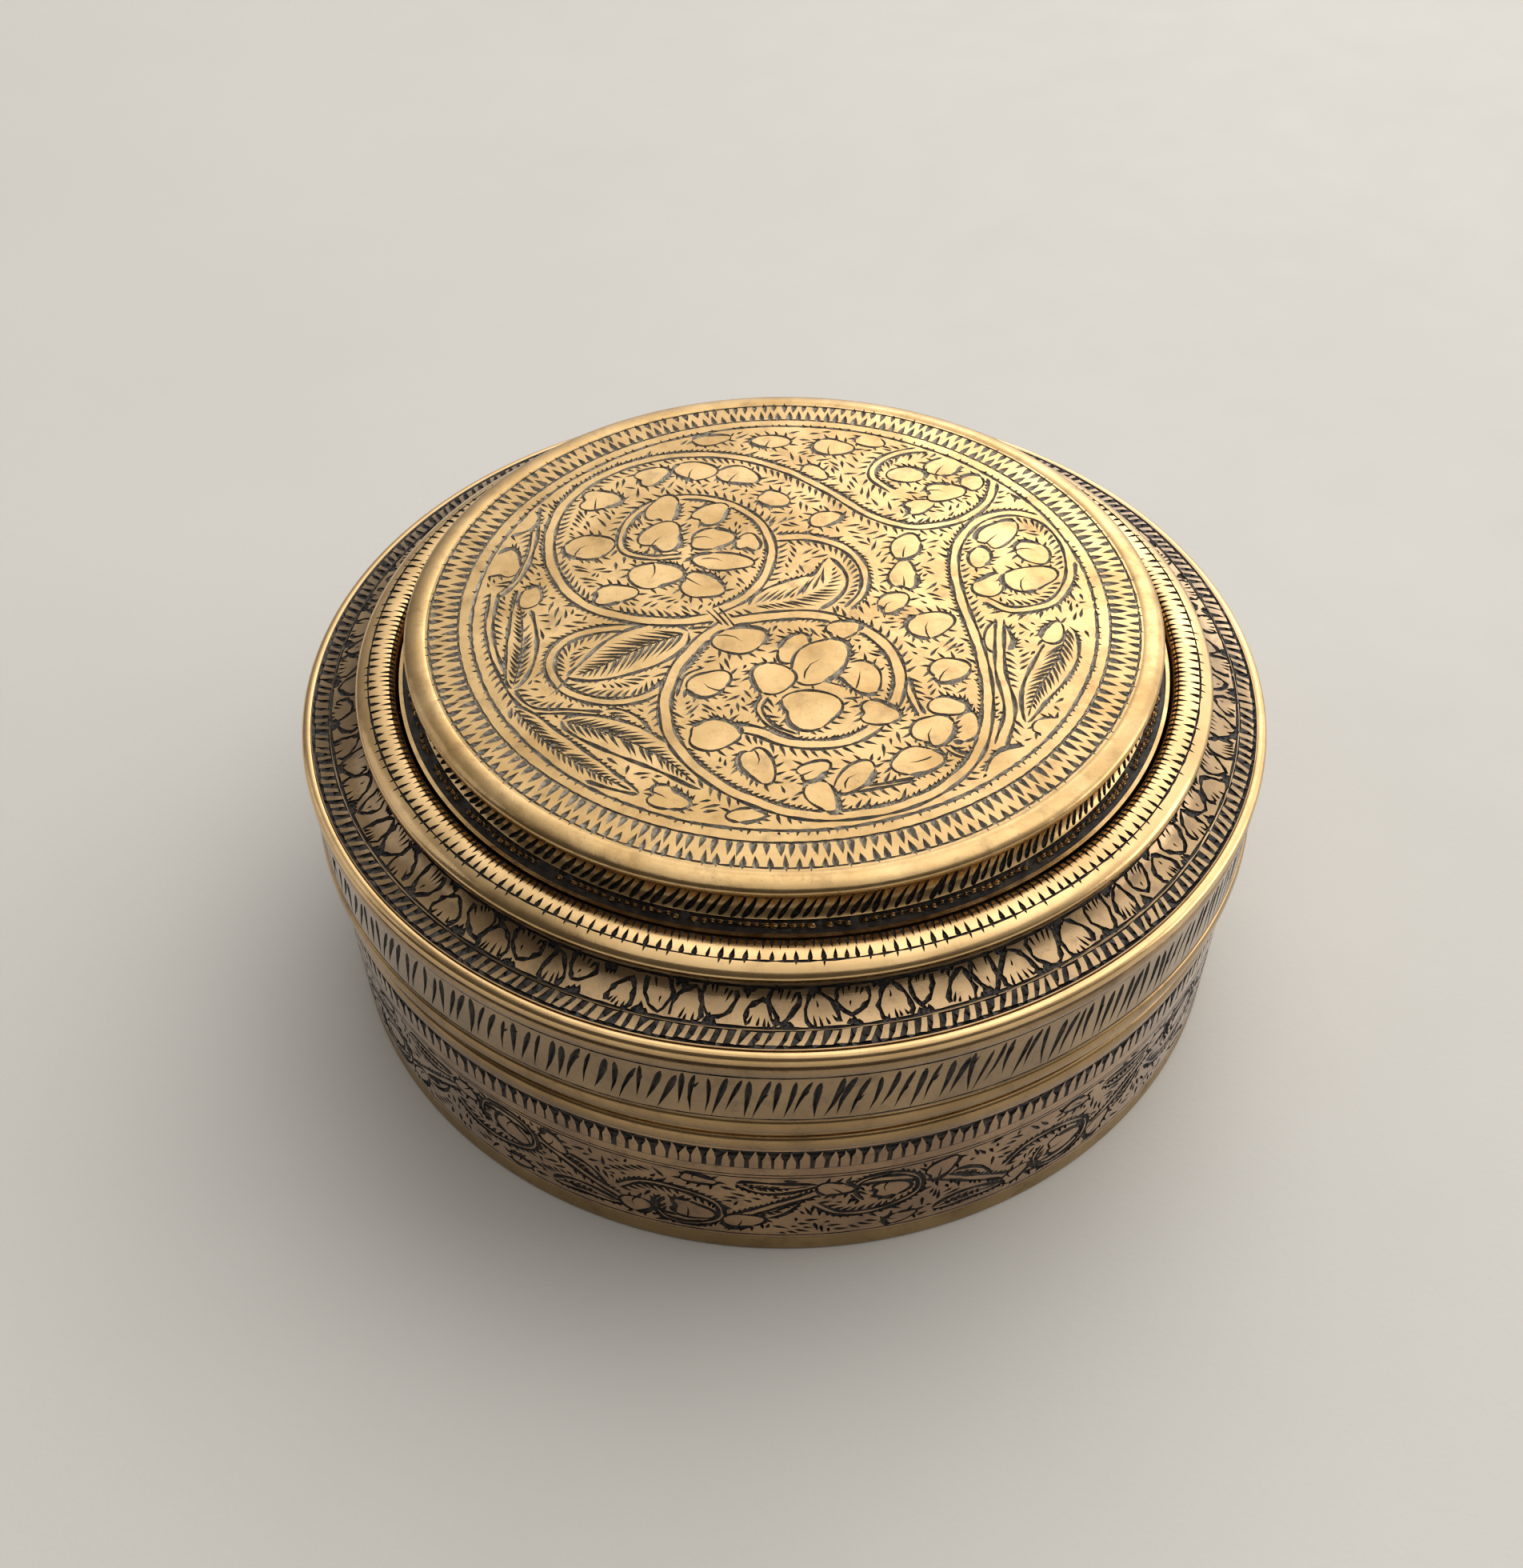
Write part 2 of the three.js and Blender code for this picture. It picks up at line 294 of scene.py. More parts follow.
    def wedge(self, a, b, wide, place=None, bow=0.0, tail=0.0, fine=True):
        """Tapered cut from a to its tip b, `wide` near its root, where it starts at `tail` of that."""
        (ax, ay), (bx, by) = a, b
        dx, dy = bx - ax, by - ay
        pts, half = [], []
        shape = [(0, tail), (0.1, 0.8), (0.28, 1.0), (0.62, 0.62), (1, 0)]
        if not fine:
            del shape[1]
        for t, w in shape:
            k = bow * 4 * t * (1 - t)
            pts.append((ax + dx * t - dy * k, ay + dy * t + dx * k))
            half.append(w * wide / 2)
        self.stroke(pts, half, place)

    def island(self, outline, wall=0.13):
        """Land left standing on the ground, with a steep wall round it."""
        p = np.array(outline, float)
        ids = [self.put(self.band(*q)) for q in p]
        centre = p.mean(0)
        self.fan(ids, self.put(self.band(*centre)), ISLAND)
        out = p - centre
        for q in p + out / np.linalg.norm(out, axis=1)[:, None] * wall:
            self.put(self.band(*q), GROUND_DEPTH)

    def fan(self, ids, centre, kind):
        for i, a in enumerate(ids):
            self.tri(centre, a, ids[(i + 1) % len(ids)], kind)

    def bead(self, u, v, r, high, long):
        """Small punched dome."""
        angles = [TAU * i / BEAD_SIDES for i in range(BEAD_SIDES)]
        rings = []
        for k, lift in ((1.0, 0.0), (0.78, 0.62), (0.42, 0.92)):
            spots = [(u + r * long * k * math.cos(a), v + r * k * math.sin(a)) for a in angles]
            rings.append([self.put(self.band(*q), -high * lift) for q in spots])
        centre = self.put(self.band(u, v), -high)
        for outer, inner in zip(rings, rings[1:]):
            for i in range(BEAD_SIDES):
                j = (i + 1) % BEAD_SIDES
                self.tri(outer[i], outer[j], inner[j], BEAD)
                self.tri(outer[i], inner[j], inner[i], BEAD)
        self.fan(rings[-1], centre, BEAD)

    def profile_at(self, v, run=None):
        """Radius, height and normal at distances v down the profile."""
        if run is None:
            s = np.concatenate([q[0] for q in self.spans])
            p = np.concatenate([q[1] for q in self.spans])
            n = np.concatenate([q[2] for q in self.spans])
            s = s + np.arange(len(s)) * 1e-9
        else:
            s, p, n = self.spans[run]
        return (np.interp(v, s, p[:, 0]), np.interp(v, s, p[:, 1]),
                np.interp(v, s, n[:, 0]), np.interp(v, s, n[:, 1]))

    def sort_faces(self, xy, tris, hole):
        """Faces of the plane, all one way round, and what each of them is part of."""
        faces, kinds = [], []
        centres = xy[np.array(tris)].mean(1)
        middle = np.hypot(centres[:, 0], centres[:, 1]) - self.hub
        for (a, b, c), v, over in zip(tris, middle, self.kinds_at(centres.tolist())):
            if a in hole and b in hole and c in hole:
                continue
            if CUT in over:
                kind = CUT
            elif BEAD in over:
                kind = BEAD
            elif ISLAND not in over and any(lo < v < hi for lo, hi in self.ground):
                kind = CUT
            else:
                kind = LAND
            faces.append((a, b, c) if twice_area(xy[a], xy[b], xy[c]) > 0 else (a, c, b))
            kinds.append(kind)
        return np.array(faces), np.array(kinds)

    def depths(self, v, deep, faces, kinds):
        """How deep each point lies: lands stay at the surface, and so do the sheet's edges."""
        on_land, on_bead = np.zeros(len(v), bool), np.zeros(len(v), bool)
        on_land[faces[kinds == LAND].ravel()] = True
        on_bead[faces[kinds == BEAD].ravel()] = True
        deep = np.where(np.isnan(deep), 0.7 * GROUND_DEPTH, deep)
        deep[on_land] = 0
        deep = np.where(on_bead & ~on_land, np.minimum(deep, GROUND_DEPTH * 0.5), deep)
        deep[np.minimum(np.abs(v), np.abs(v - self.length)) < 0.03] = 0
        return deep

    def corner_normals(self, v, cosine, sine, points, faces, kinds):
        """Lands shade as the smooth profile, beads as domes, and cuts flat."""
        first, second, third = (points[faces[:, k]] for k in range(3))
        flat = np.cross(second - first, third - first)
        beads = kinds == BEAD
        domes = np.zeros((len(points), 3))
        for k in range(3):
            np.add.at(domes, faces[beads][:, k], flat[beads])
        corner = np.repeat(unit(flat)[:, None], 3, 1)
        which = np.searchsorted(np.array([q[0][-1] for q in self.spans]), v[faces].mean(1))
        which = np.minimum(which, len(self.spans) - 1)
        for run in range(len(self.spans)):
            rows = (which == run) & (kinds == LAND)
            f = faces[rows]
            _, _, out, up = self.profile_at(v[f], run)
            corner[rows] = np.stack([out * cosine[f], out * sine[f], up], 2)
        corner[beads] = unit(domes)[faces[beads]]
        return corner

    def finish(self, name, body, nodes, materials, back):
        """Triangulates the plane, sinks the cuts, rolls it up and closes it with the back."""
        co, _, tris, sources, _, _ = geometry.delaunay_2d_cdt(
            [Vector(q) for q in self.co], sorted(self.edges), [], 0, 1e-4, True)
        xy = np.array([(q.x, q.y) for q in co])
        rho = np.hypot(xy[:, 0], xy[:, 1])
        cosine, sine = xy[:, 0] / np.maximum(rho, 1e-9), xy[:, 1] / np.maximum(rho, 1e-9)
        v = rho - self.hub
        now = {}
        deep = np.full(len(co), np.nan)
        for k, drawn in enumerate(sources):
            for i in drawn:
                now[i] = k
                if i in self.deep:
                    deep[k] = np.fmax(deep[k], self.deep[i])
        start = [now[i] for i in self.first] if self.hub > 0 else None
        faces, kinds = self.sort_faces(xy, tris, set(start or ()))
        deep = self.depths(v, deep, faces, kinds)
        r, z, out, up = self.profile_at(v)
        r, z = r - out * deep, z - up * deep
        shell = Shell()
        shell.points = list(zip(r * cosine, r * sine, z))
        corner = self.corner_normals(v, cosine, sine, np.array(shell.points), faces, kinds)
        shell.faces = faces.tolist()
        shell.slots = [1 if k == CUT else 0 for k in kinds]
        shell.normals = [tuple(q) for q in corner.reshape(-1, 3)]
        edge = [now[i] for i in self.last]
        for k, run in enumerate(back):
            last = start if start and k == len(back) - 1 else None
            edge = shell.run(run, first=edge, last=last)[-1]
        shell.build(name, body, nodes, materials)


# ---------------------------------------------------------------- materials
class Nodes:
    """Shorthand for building one node material, whose textures lie in the object's own space."""

    def __init__(self, name):
        self.mat = bpy.data.materials.new(name)
        self.mat.use_nodes = True
        self.tree = self.mat.node_tree
        self.shader = self.tree.nodes["Principled BSDF"]
        self.where = self.add("ShaderNodeTexCoord").outputs["Object"]

    def add(self, kind, **settings):
        node = self.tree.nodes.new(kind)
        for key, value in settings.items():
            setattr(node, key, value)
        return node

    def link(self, a, b):
        self.tree.links.new(a, b)

    def stretched(self, scale, turn):
        m = self.add("ShaderNodeMapping")
        m.inputs["Scale"].default_value = scale
        m.inputs["Rotation"].default_value = turn
        self.link(self.where, m.inputs["Vector"])
        return m.outputs["Vector"]

    def polar(self, round_scale, radius_scale, height_scale):
        """Coordinates (angle, radius, height) for marks left by turning and wiping."""
        split = self.add("ShaderNodeSeparateXYZ")
        self.link(self.where, split.inputs[0])
        angle = self.math("ARCTAN2", split.outputs[1], split.outputs[0])
        squares = self.math("ADD", self.math("MULTIPLY", split.outputs[0], split.outputs[0]),
                            self.math("MULTIPLY", split.outputs[1], split.outputs[1]))
        radius = self.math("SQRT", squares)
        join = self.add("ShaderNodeCombineXYZ")
        self.link(self.math("MULTIPLY", angle, round_scale), join.inputs[0])
        self.link(self.math("MULTIPLY", radius, radius_scale), join.inputs[1])
        self.link(self.math("MULTIPLY", split.outputs[2], height_scale), join.inputs[2])
        return join.outputs[0]

    def math(self, operation, a, b=None):
        m = self.add("ShaderNodeMath", operation=operation)
        for socket, value in zip(m.inputs, (a, b)):
            if isinstance(value, (int, float)):
                socket.default_value = value
            elif value is not None:
                self.link(value, socket)
        return m.outputs[0]

    def noise(self, scale, detail=3.0, rough=0.55, vector=None):
        n = self.add("ShaderNodeTexNoise")
        n.inputs["Scale"].default_value = scale
        n.inputs["Detail"].default_value = detail
        n.inputs["Roughness"].default_value = rough
        self.link(vector or self.where, n.inputs["Vector"])
        return n.outputs[0]

    def ramp(self, value, *stops):
        """Grey ramp through (position, level) stops."""
        r = self.add("ShaderNodeValToRGB")
        for e, (at, level) in zip(r.color_ramp.elements, stops):
            e.position = at
            e.color = (level, level, level, 1)
        self.link(value, r.inputs[0])
        return r.outputs[0]

    def mix(self, factor, a, b):
        m = self.add("ShaderNodeMix", data_type="RGBA")
        for socket, value in ((m.inputs[0], factor), (m.inputs[6], a), (m.inputs[7], b)):
            if isinstance(value, tuple):
                socket.default_value = (*value, 1)
            elif isinstance(value, float):
                socket.default_value = value
            else:
                self.link(value, socket)
        return m.outputs[2]

    def bump(self, height, strength, distance, under=None):
        b = self.add("ShaderNodeBump")
        b.inputs["Strength"].default_value = strength
        b.inputs["Distance"].default_value = distance
        self.link(height, b.inputs["Height"])
        if under:
            self.link(under, b.inputs["Normal"])
        return b.outputs[0]

    def done(self, colour, rough, normal, metallic=1.0):
        self.link(colour, self.shader.inputs["Base Color"])
        self.link(rough, self.shader.inputs["Roughness"])
        self.link(normal, self.shader.inputs["Normal"])
        self.shader.inputs["Metallic"].default_value = metallic
        return self.mat


def brass(name, bright, worn, stain, rough, dents, speckle, turning=0.0, film=0.0):
    """Old brass: warm patches, brown stain, fine wiping scratches, shallow dents, a clear film."""
    n = Nodes(name)
    patch = n.noise(85, 4)
    colour = n.mix(n.ramp(patch, (0.35, 0.0), (0.68, 1.0)), bright, worn)
    stains = n.ramp(n.noise(260, 6, 0.7), (0.52, 0.0), (0.78, speckle))
    colour = n.mix(stains, colour, stain)
    pits = n.ramp(n.noise(1900, 2, 0.6), (0.62, 0.0), (0.76, 0.6 * speckle))
    colour = n.mix(pits, colour, stain)
    scratch = n.noise(1.0, 3, 0.6, n.stretched((5200, 260, 900), (0.3, 0.1, 0.6)))
    scratch2 = n.noise(1.0, 3, 0.6, n.stretched((240, 4800, 900), (0.1, 0.2, 0.35)))
    both = n.math("ADD", scratch, scratch2)
    rough_mix = n.math("ADD", n.math("MULTIPLY", n.noise(420, 4), 0.26), rough - 0.13)
    rough_mix = n.math("ADD", rough_mix, n.math("MULTIPLY", stains, 0.18))
    normal = n.bump(n.noise(95, 2), dents, 0.0004)
    normal = n.bump(n.noise(330, 3), dents * 0.45, 0.00012, normal)
    normal = n.bump(both, 0.22, 0.00002, normal)
    if turning:
        rings = n.noise(1.0, 2, 0.6, n.polar(0.6, 5200, 5200))
        normal = n.bump(rings, turning, 0.00003, normal)
        colour = n.mix(n.math("MULTIPLY", rings, 0.35), colour, worn)
    n.shader.inputs["Coat Weight"].default_value = film
    n.shader.inputs["Coat Roughness"].default_value = 0.14
    return n.done(colour, rough_mix, normal)


def cut_metal(name, dark, lighter, rough):
    """The graver's cut, blackened with old polish and tarnish."""
    n = Nodes(name)
    colour = n.mix(n.ramp(n.noise(700, 4, 0.6), (0.42, 0.0), (0.72, 1.0)), dark, lighter)
    rough_mix = n.math("ADD", n.math("MULTIPLY", n.noise(900, 3), 0.25), rough - 0.1)
    normal = n.bump(n.noise(2600, 3), 0.5, 0.00006)
    return n.done(colour, rough_mix, normal, 0.55)


lands = brass(
    "Engraved brass lands", (0.66, 0.455, 0.22), (0.47, 0.295, 0.12), (0.20, 0.12, 0.06),
    rough=0.24, dents=0.8, speckle=0.6)
# Darker copy of the lands for the body wall: partly the tarnish of the walls, partly painted shade of upright
# walls that face the dim room.
walls_tarnish_and_shade = brass(
    "Engraved brass walls, tarnish and painted shade", (0.60, 0.37, 0.165), (0.30, 0.165, 0.075), (0.07, 0.04, 0.024),
    rough=0.28, dents=0.8, turning=0.3, speckle=0.85, film=0.8)
# Darker copy of the lands for the shoulder and skirt, darkened as painted shade; its patches and stains are
# the metal's own.
slopes_shaded = brass(
    "Engraved brass slopes, painted shade", (0.44, 0.29, 0.14), (0.27, 0.17, 0.08), (0.08, 0.048, 0.028),
    rough=0.26, dents=0.9, turning=0.3, speckle=0.75, film=0.7)
# Darker copy of the polished brass for the beads at the seam, darkened as painted shade of the gap under the
# lid.
mouth_bands_shaded = brass(
    "Polished brass mouth, painted shade", (0.49, 0.315, 0.14), (0.31, 0.195, 0.08), (0.10, 0.06, 0.035),
    rough=0.25, dents=0.45, turning=0.12, speckle=0.6, film=0.4)
polished = brass(
    "Polished brass bands", (0.84, 0.58, 0.29), (0.62, 0.41, 0.19), (0.20, 0.12, 0.06),
    rough=0.2, dents=0.35, turning=0.12, speckle=0.35)
inner_brass = brass(
    "Aged inner brass", (0.47, 0.33, 0.16), (0.33, 0.22, 0.10), (0.12, 0.075, 0.035),
    rough=0.42, dents=0.5, turning=0.35, speckle=0.8)
spoon_metal = brass(
    "Worn spoon brass", (0.78, 0.56, 0.28), (0.64, 0.43, 0.19), (0.26, 0.16, 0.08),
    rough=0.3, dents=0.6, speckle=0.4)
cup_metal = brass(
    "Turned cup brass", (0.78, 0.56, 0.25), (0.66, 0.45, 0.18), (0.28, 0.17, 0.075),
    rough=0.27, dents=0.25, turning=0.5, speckle=0.35)
dark_cut = cut_metal("Blackened cuts", (0.018, 0.016, 0.016), (0.075, 0.057, 0.043), 0.46)
# Lighter copy of the cut colour for the upward-facing cuts of the top: painted reflection of the bright sky.
sky_lit_cut = cut_metal("Cuts lightened by painted sky reflection", (0.16, 0.137, 0.108), (0.41, 0.335, 0.235), 0.36)

rng = random.Random(11)


def jit(a):
    return rng.uniform(-a, a)


def ring_line(relief, v, half, wobble, ragged):
    """Engraved line all the way round."""
    phase = [rng.uniform(0, TAU) for _ in range(3)]
    pts, halves = [], []
    for i in range(TURNS):
        a = TAU * i / TURNS
        waves = math.sin(3 * a + phase[0]) + math.sin(7 * a + phase[1]) + math.sin(16 * a + phase[2])
        pts.append((a * relief.ref, v + wobble * waves / 3))
        halves.append(max(0.05, half * (1 + ragged * rng.uniform(-1, 1))))
    relief.stroke(pts, halves, deep=0.22, closed=True)


def row(relief, count):
    """Places round a band, evenly spaced but for a hand's unevenness."""
    drift = 0.0
    for i in range(count):
        drift = 0.8 * drift + rng.uniform(-0.12, 0.12)
        yield TAU * (i + drift) / count * relief.ref


# ---------------------------------------------------------------- scrollwork
def smooth_path(points, step=0.6):
    """Even points along a smooth curve through the given points."""
    p = np.array(points, float)
    ends = np.vstack([2 * p[0] - p[1], p, 2 * p[-1] - p[-2]])
    t = np.linspace(0, 1, 16)[:-1, None]
    parts = []
    for a, b, c, d in zip(ends, ends[1:], ends[2:], ends[3:]):
        parts.append(0.5 * (2 * b + (c - a) * t + (2 * a - 5 * b + 4 * c - d) * t ** 2
                            + (3 * b - 3 * c + d - a) * t ** 3))
    q = np.vstack(parts + [p[-1:]])
    s = np.concatenate([[0], np.cumsum(np.linalg.norm(np.diff(q, axis=0), axis=1))])
    n = max(2, int(round(s[-1] / step)) + 1)
    at = np.linspace(0, s[-1], n)
    return np.stack([np.interp(at, s, q[:, 0]), np.interp(at, s, q[:, 1])], 1)


def sides(path):
    """Directions along a path and across it."""
    t = np.gradient(path, axis=0)
    t /= np.maximum(np.linalg.norm(t, axis=1), 1e-9)[:, None]
    return t, np.stack([-t[:, 1], t[:, 0]], 1)


class Scroll:
    """Scrollwork cut into a relief. Two fine grids remember the metal that is taken:
    `solid` holds the insides of finished motifs, `taken` also the cuts and the lands between."""

    CELL = 0.12

    def __init__(self, relief, low, high, bold, place=None, round_about=0.0):
        self.relief, self.place, self.low, self.bold = relief, place, np.array(low, float), bold
        size = (np.array(high, float) - self.low) / self.CELL
        self.wrap = int(round(round_about / self.CELL)) if round_about else 0
        self.shape = (self.wrap or int(size[0]) + 1, int(size[1]) + 1)
        self.taken = np.zeros(self.shape, bool)
        self.solid = np.zeros(self.shape, bool)
        self.discs, self.guides, self.rims = {}, [], []

    def cell(self, q):
        i = int((q[0] - self.low[0]) / self.CELL)
        j = int((q[1] - self.low[1]) / self.CELL)
        if self.wrap:
            i %= self.wrap
        return i, j

    def blocked(self, grid, q):
        i, j = self.cell(q)
        return not (0 <= i < self.shape[0] and 0 <= j < self.shape[1]) or bool(grid[i, j])

    def mark(self, grid, q, radius):
        k = int(round(radius / self.CELL * 2))
        if k not in self.discs:
            n = k // 2 + 1
            a, b = np.mgrid[-n:n + 1, -n:n + 1]
            keep = a * a + b * b <= (k / 2) ** 2 + 0.3
            self.discs[k] = (a[keep], b[keep])
        a, b = self.discs[k]
        i, j = self.cell(q)
        a, b = a + i, b + j
        if self.wrap:
            a = a % self.wrap
        keep = (a >= 0) & (a < self.shape[0]) & (b >= 0) & (b < self.shape[1])
        grid[a[keep], b[keep]] = True

    def mark_path(self, grid, path, radius):
        for p, q in zip(path, path[1:]):
            n = max(1, int(math.dist(p, q) / 0.2))
            for k in range(n):
                self.mark(grid, p + (q - p) * k / n, radius)
        self.mark(grid, path[-1], radius)

    def fill_outline(self, outline):
        """Marks the inside of a closed outline as finished."""
        p = np.array(outline, float)
        lo, hi = p.min(0), p.max(0)
        xs = np.arange(lo[0], hi[0] + self.CELL, self.CELL)
        ys = np.arange(lo[1], hi[1] + self.CELL, self.CELL)
        gx, gy = np.meshgrid(xs, ys, indexing="ij")
        inside = np.zeros(gx.shape, bool)
        for (ax, ay), (bx, by) in zip(p, np.roll(p, -1, 0)):
            if ay == by:
                continue
            inside ^= ((ay > gy) != (by > gy)) & (gx < (bx - ax) * (gy - ay) / (by - ay) + ax)
        i = ((gx[inside] - self.low[0]) / self.CELL).astype(int)
        j = ((gy[inside] - self.low[1]) / self.CELL).astype(int)
        if self.wrap:
            i %= self.wrap
        keep = (i >= 0) & (i < self.shape[0]) & (j >= 0) & (j < self.shape[1])
        self.solid[i[keep], j[keep]] = True
        self.taken[i[keep], j[keep]] = True

    def groove(self, path, width, teeth=0, tooth=0.8):
        """Line cut along a path wherever no finished motif lies over it. Teeth lean off one side."""
        path = np.asarray(path)
        clear = [not self.blocked(self.solid, q) for q in path]
        start = None
        for k in range(len(path) + 1):
            if k < len(path) and clear[k]:
                start = k if start is None else start
                continue
            if start is not None and k - start >= 3:
                self.line(path[start:k], width, teeth, tooth)
            start = None

    def line(self, run, width, teeth, tooth):
        n, width = len(run), width * self.bold
        phase = rng.uniform(0, TAU)
        half = [0.5 * width * (1 + 0.28 * math.sin(phase + 0.55 * k) + jit(0.16)) for k in range(n)]
        half[0] *= 0.35
        half[-1] *= 0.35
        self.relief.stroke(run, half, self.place, 0.3)
        self.mark_path(self.taken, run, width / 2 + 0.2)
        if teeth and n > 4:
            self.barbs(run, teeth, 0.05, tooth, 0.85, 0.85, 0.4, True)

    def tick(self, a, direction, length, wide, rooted=False):
        """Short tapered cut, cut short where metal is taken. A rooted one grows from a line."""
        d = np.array(direction, float)
        d /= max(np.linalg.norm(d), 1e-9)
        a = np.asarray(a, float)
        at, shortest, step = (0.55, 0.6, 0.14) if rooted else (0.0, 0.9, 0.14)
        if self.blocked(self.solid if rooted else self.taken, a + d * at):
            return
        while at < length and not self.blocked(self.taken, a + d * (at + step)):
            at += step
        if at < shortest:
            return
        wide *= self.bold * (0.65 + 0.35 * min(1, at / max(length, 0.1)))
        b = a + d * at
        self.relief.wedge(tuple(a), tuple(b), wide, self.place, bow=jit(0.05),
                          tail=0.75 if rooted else 0.3, fine=False)
        for k in np.arange(0.0, at, 0.16):
            self.mark(self.taken, a + d * k, 0.5 * wide * (1 - 0.6 * k / at) + 0.2)

    def barbs(self, path, sign, offset, length, pitch, lean, wide, rooted=False):
        """Row of slanting cuts beside a path, like the barbs of a feather."""
        path = np.asarray(path)
        t, side = sides(path)
        s = np.concatenate([[0], np.cumsum(np.linalg.norm(np.diff(path, axis=0), axis=1))])
        at = 0.4
        while at < s[-1] - 0.3:
            q, d, n = (np.array([np.interp(at, s, line[:, k]) for k in (0, 1)]) for line in (path, t, side))
            n = n * sign
            go = d * math.cos(lean + jit(0.1)) + n * math.sin(lean)
            root = q + n * (offset + jit(0.06))
            reach = length * rng.uniform(0.85, 1.12)
            self.tick(root, go, reach, wide, rooted)
            at += pitch * rng.uniform(0.88, 1.14)

    def petal(self, x, y, r, long=1.0, turn=0.0, notch=None):
        """Round raised petal with a line round it, ragged on one part of its edge."""
        turn = math.radians(turn)
        wave = [rng.uniform(0, TAU), rng.uniform(0, TAU)]
        point, dent = rng.uniform(0.12, 0.48), rng.choice((0.0, 0.0, 0.24, 0.36))
        n = max(18, int(TAU * r / 0.55))
        pts = []
        for k in range(n):
            a = TAU * k / n
            rr = r * (0.97 + point * max(0.0, math.cos(a)) ** 5 - dent * max(0.0, -math.cos(a)) ** 8
                      + 0.06 * math.sin(2 * a + wave[0]) + 0.05 * math.sin(3 * a + wave[1]))
            px, py = rr * long * math.cos(a), rr * math.sin(a) / long ** 0.5
            pts.append((x + px * math.cos(turn) - py * math.sin(turn),
                        y + px * math.sin(turn) + py * math.cos(turn)))
        shift = rng.randrange(n)
        pts = pts[shift:] + pts[:shift]
        ragged = n * 3 // 5
        self.groove(np.array(pts[:ragged + 1]), 0.36)
        self.groove(np.array(pts[ragged:] + pts[:1]), 0.6, teeth=-1, tooth=1.15)
        if notch is not None:
            a = math.radians(notch)
            d = np.array([math.cos(a), math.sin(a)])
            root = np.array([x, y]) - d * r * 0.95
            if not self.blocked(self.solid, root):
                self.relief.wedge(tuple(root), tuple(root + d * r * 1.25), 0.3, self.place,
                                  bow=0.1 + jit(0.14), tail=0.6)
        self.fill_outline(pts)
        self.rims.append(np.array(pts + pts[:1]))

    def stem(self, points, width, width_end=None, teeth=(0, 0)):
        """Raised stem between two lines."""
        path = smooth_path(points)
        _, side = sides(path)
        width_end = width_end or width
        half = ((width + (width_end - width) * np.linspace(0, 1, len(path))) / 2)[:, None]
        self.groove(path + side * half, 0.46, teeth[0])
        self.groove(path - side * half, 0.42, -teeth[1])
        for q, h in zip(path, half[:, 0]):
            self.mark(self.solid, q, max(0.1, h - 0.05))
            self.mark(self.taken, q, h + 0.1)
        self.guides.append((path, max(width, width_end) / 2))

    def leaf(self, points, width, pitch, rib=True):
        """Pointed leaf round a curved rib, with slanting cuts on both sides of it."""
        path = smooth_path(points)
        _, side = sides(path)
        k = np.linspace(0, 1, len(path))
        half = (width / 2 * np.sin(np.pi * k ** 0.75) ** 0.75 + 0.12)[:, None]
        left, right = path + side * half, path - side * half
        self.groove(left, 0.44, teeth=1, tooth=0.6)
        self.groove(right, 0.5)
        if rib:
            self.groove(path[1:-2], 0.26)
        for sign in (1, -1):
            self.barbs(path[1:], sign, 0.1 if rib else 0.3, width * 0.55, pitch * 0.92, 0.62, 0.46, rib)
        self.fill_outline(np.vstack([left, right[::-1]]))

    def hairs(self, length, pitch):
        """Short cuts growing from every outline and stem."""
        for path, half in self.guides:
            for sign in (1, -1):
                self.barbs(path, sign, half + 0.1, length, pitch, 0.9, 0.46, True)
        for path in self.rims:
            self.barbs(path, -1, 0.1, length * 0.8, pitch, 1.1, 0.42, True)

    def feathers(self, rows, first, high, pitch, slant=0.85):
        """Rows of slanting cuts beside the stems, each row leaning against the one before."""
        for k in range(rows):
            lean = slant if k % 2 else TAU / 2 - slant
            for path, half in self.guides:
                for sign in (1, -1):
                    offset = half + first + k * (high + 0.15)
                    self.barbs(path, sign, offset, high / math.sin(slant), pitch, lean, 0.46)

    def heading(self, q):
        """Direction of the nearest stem, and how far away it is."""
        near, best = 0.6, 1e9
        for path, _ in self.guides:
            d = np.abs(path - q).sum(1)
            k = int(d.argmin())
            if d[k] < best:
                step = path[min(k + 1, len(path) - 1)] - path[max(k - 1, 0)]
                near, best = math.atan2(step[1], step[0]), d[k]
        return near, best

    def spots(self, spacing):
        """Evenly spaced places all over the band."""
        xs, ys = (np.arange(self.low[k], self.low[k] + self.shape[k] * self.CELL, spacing) for k in (0, 1))
        return [(x, y) for x in xs for y in ys]

    def fronds(self, spacing, reach, barb, pitch, step=0.45):
        """Fern fronds grown along the free ground, each a rib with slanting cuts on both sides."""
        spots = self.spots(spacing)
        rng.shuffle(spots)
        for x, y in spots:
            q = np.array([x + jit(0.4), y + jit(0.4)])
            if self.blocked(self.taken, q):
                continue
            a = self.heading(q)[0] + rng.choice((0.0, math.pi)) + jit(0.35)
            curl, path = jit(0.09), [q]
            while len(path) * step < reach:
                a += curl
                q = q + step * np.array([math.cos(a), math.sin(a)])
                side = 0.55 * np.array([-math.sin(a), math.cos(a)])
                if any(self.blocked(self.taken, p) for p in (q, q + side, q - side)):
                    break
                path.append(q)
            if len(path) < 6:
                continue
            for sign in (1, -1):
                self.barbs(path, sign, 0.14, barb, pitch, 0.72, 0.46)
            self.mark_path(self.taken, np.array(path), 0.2)

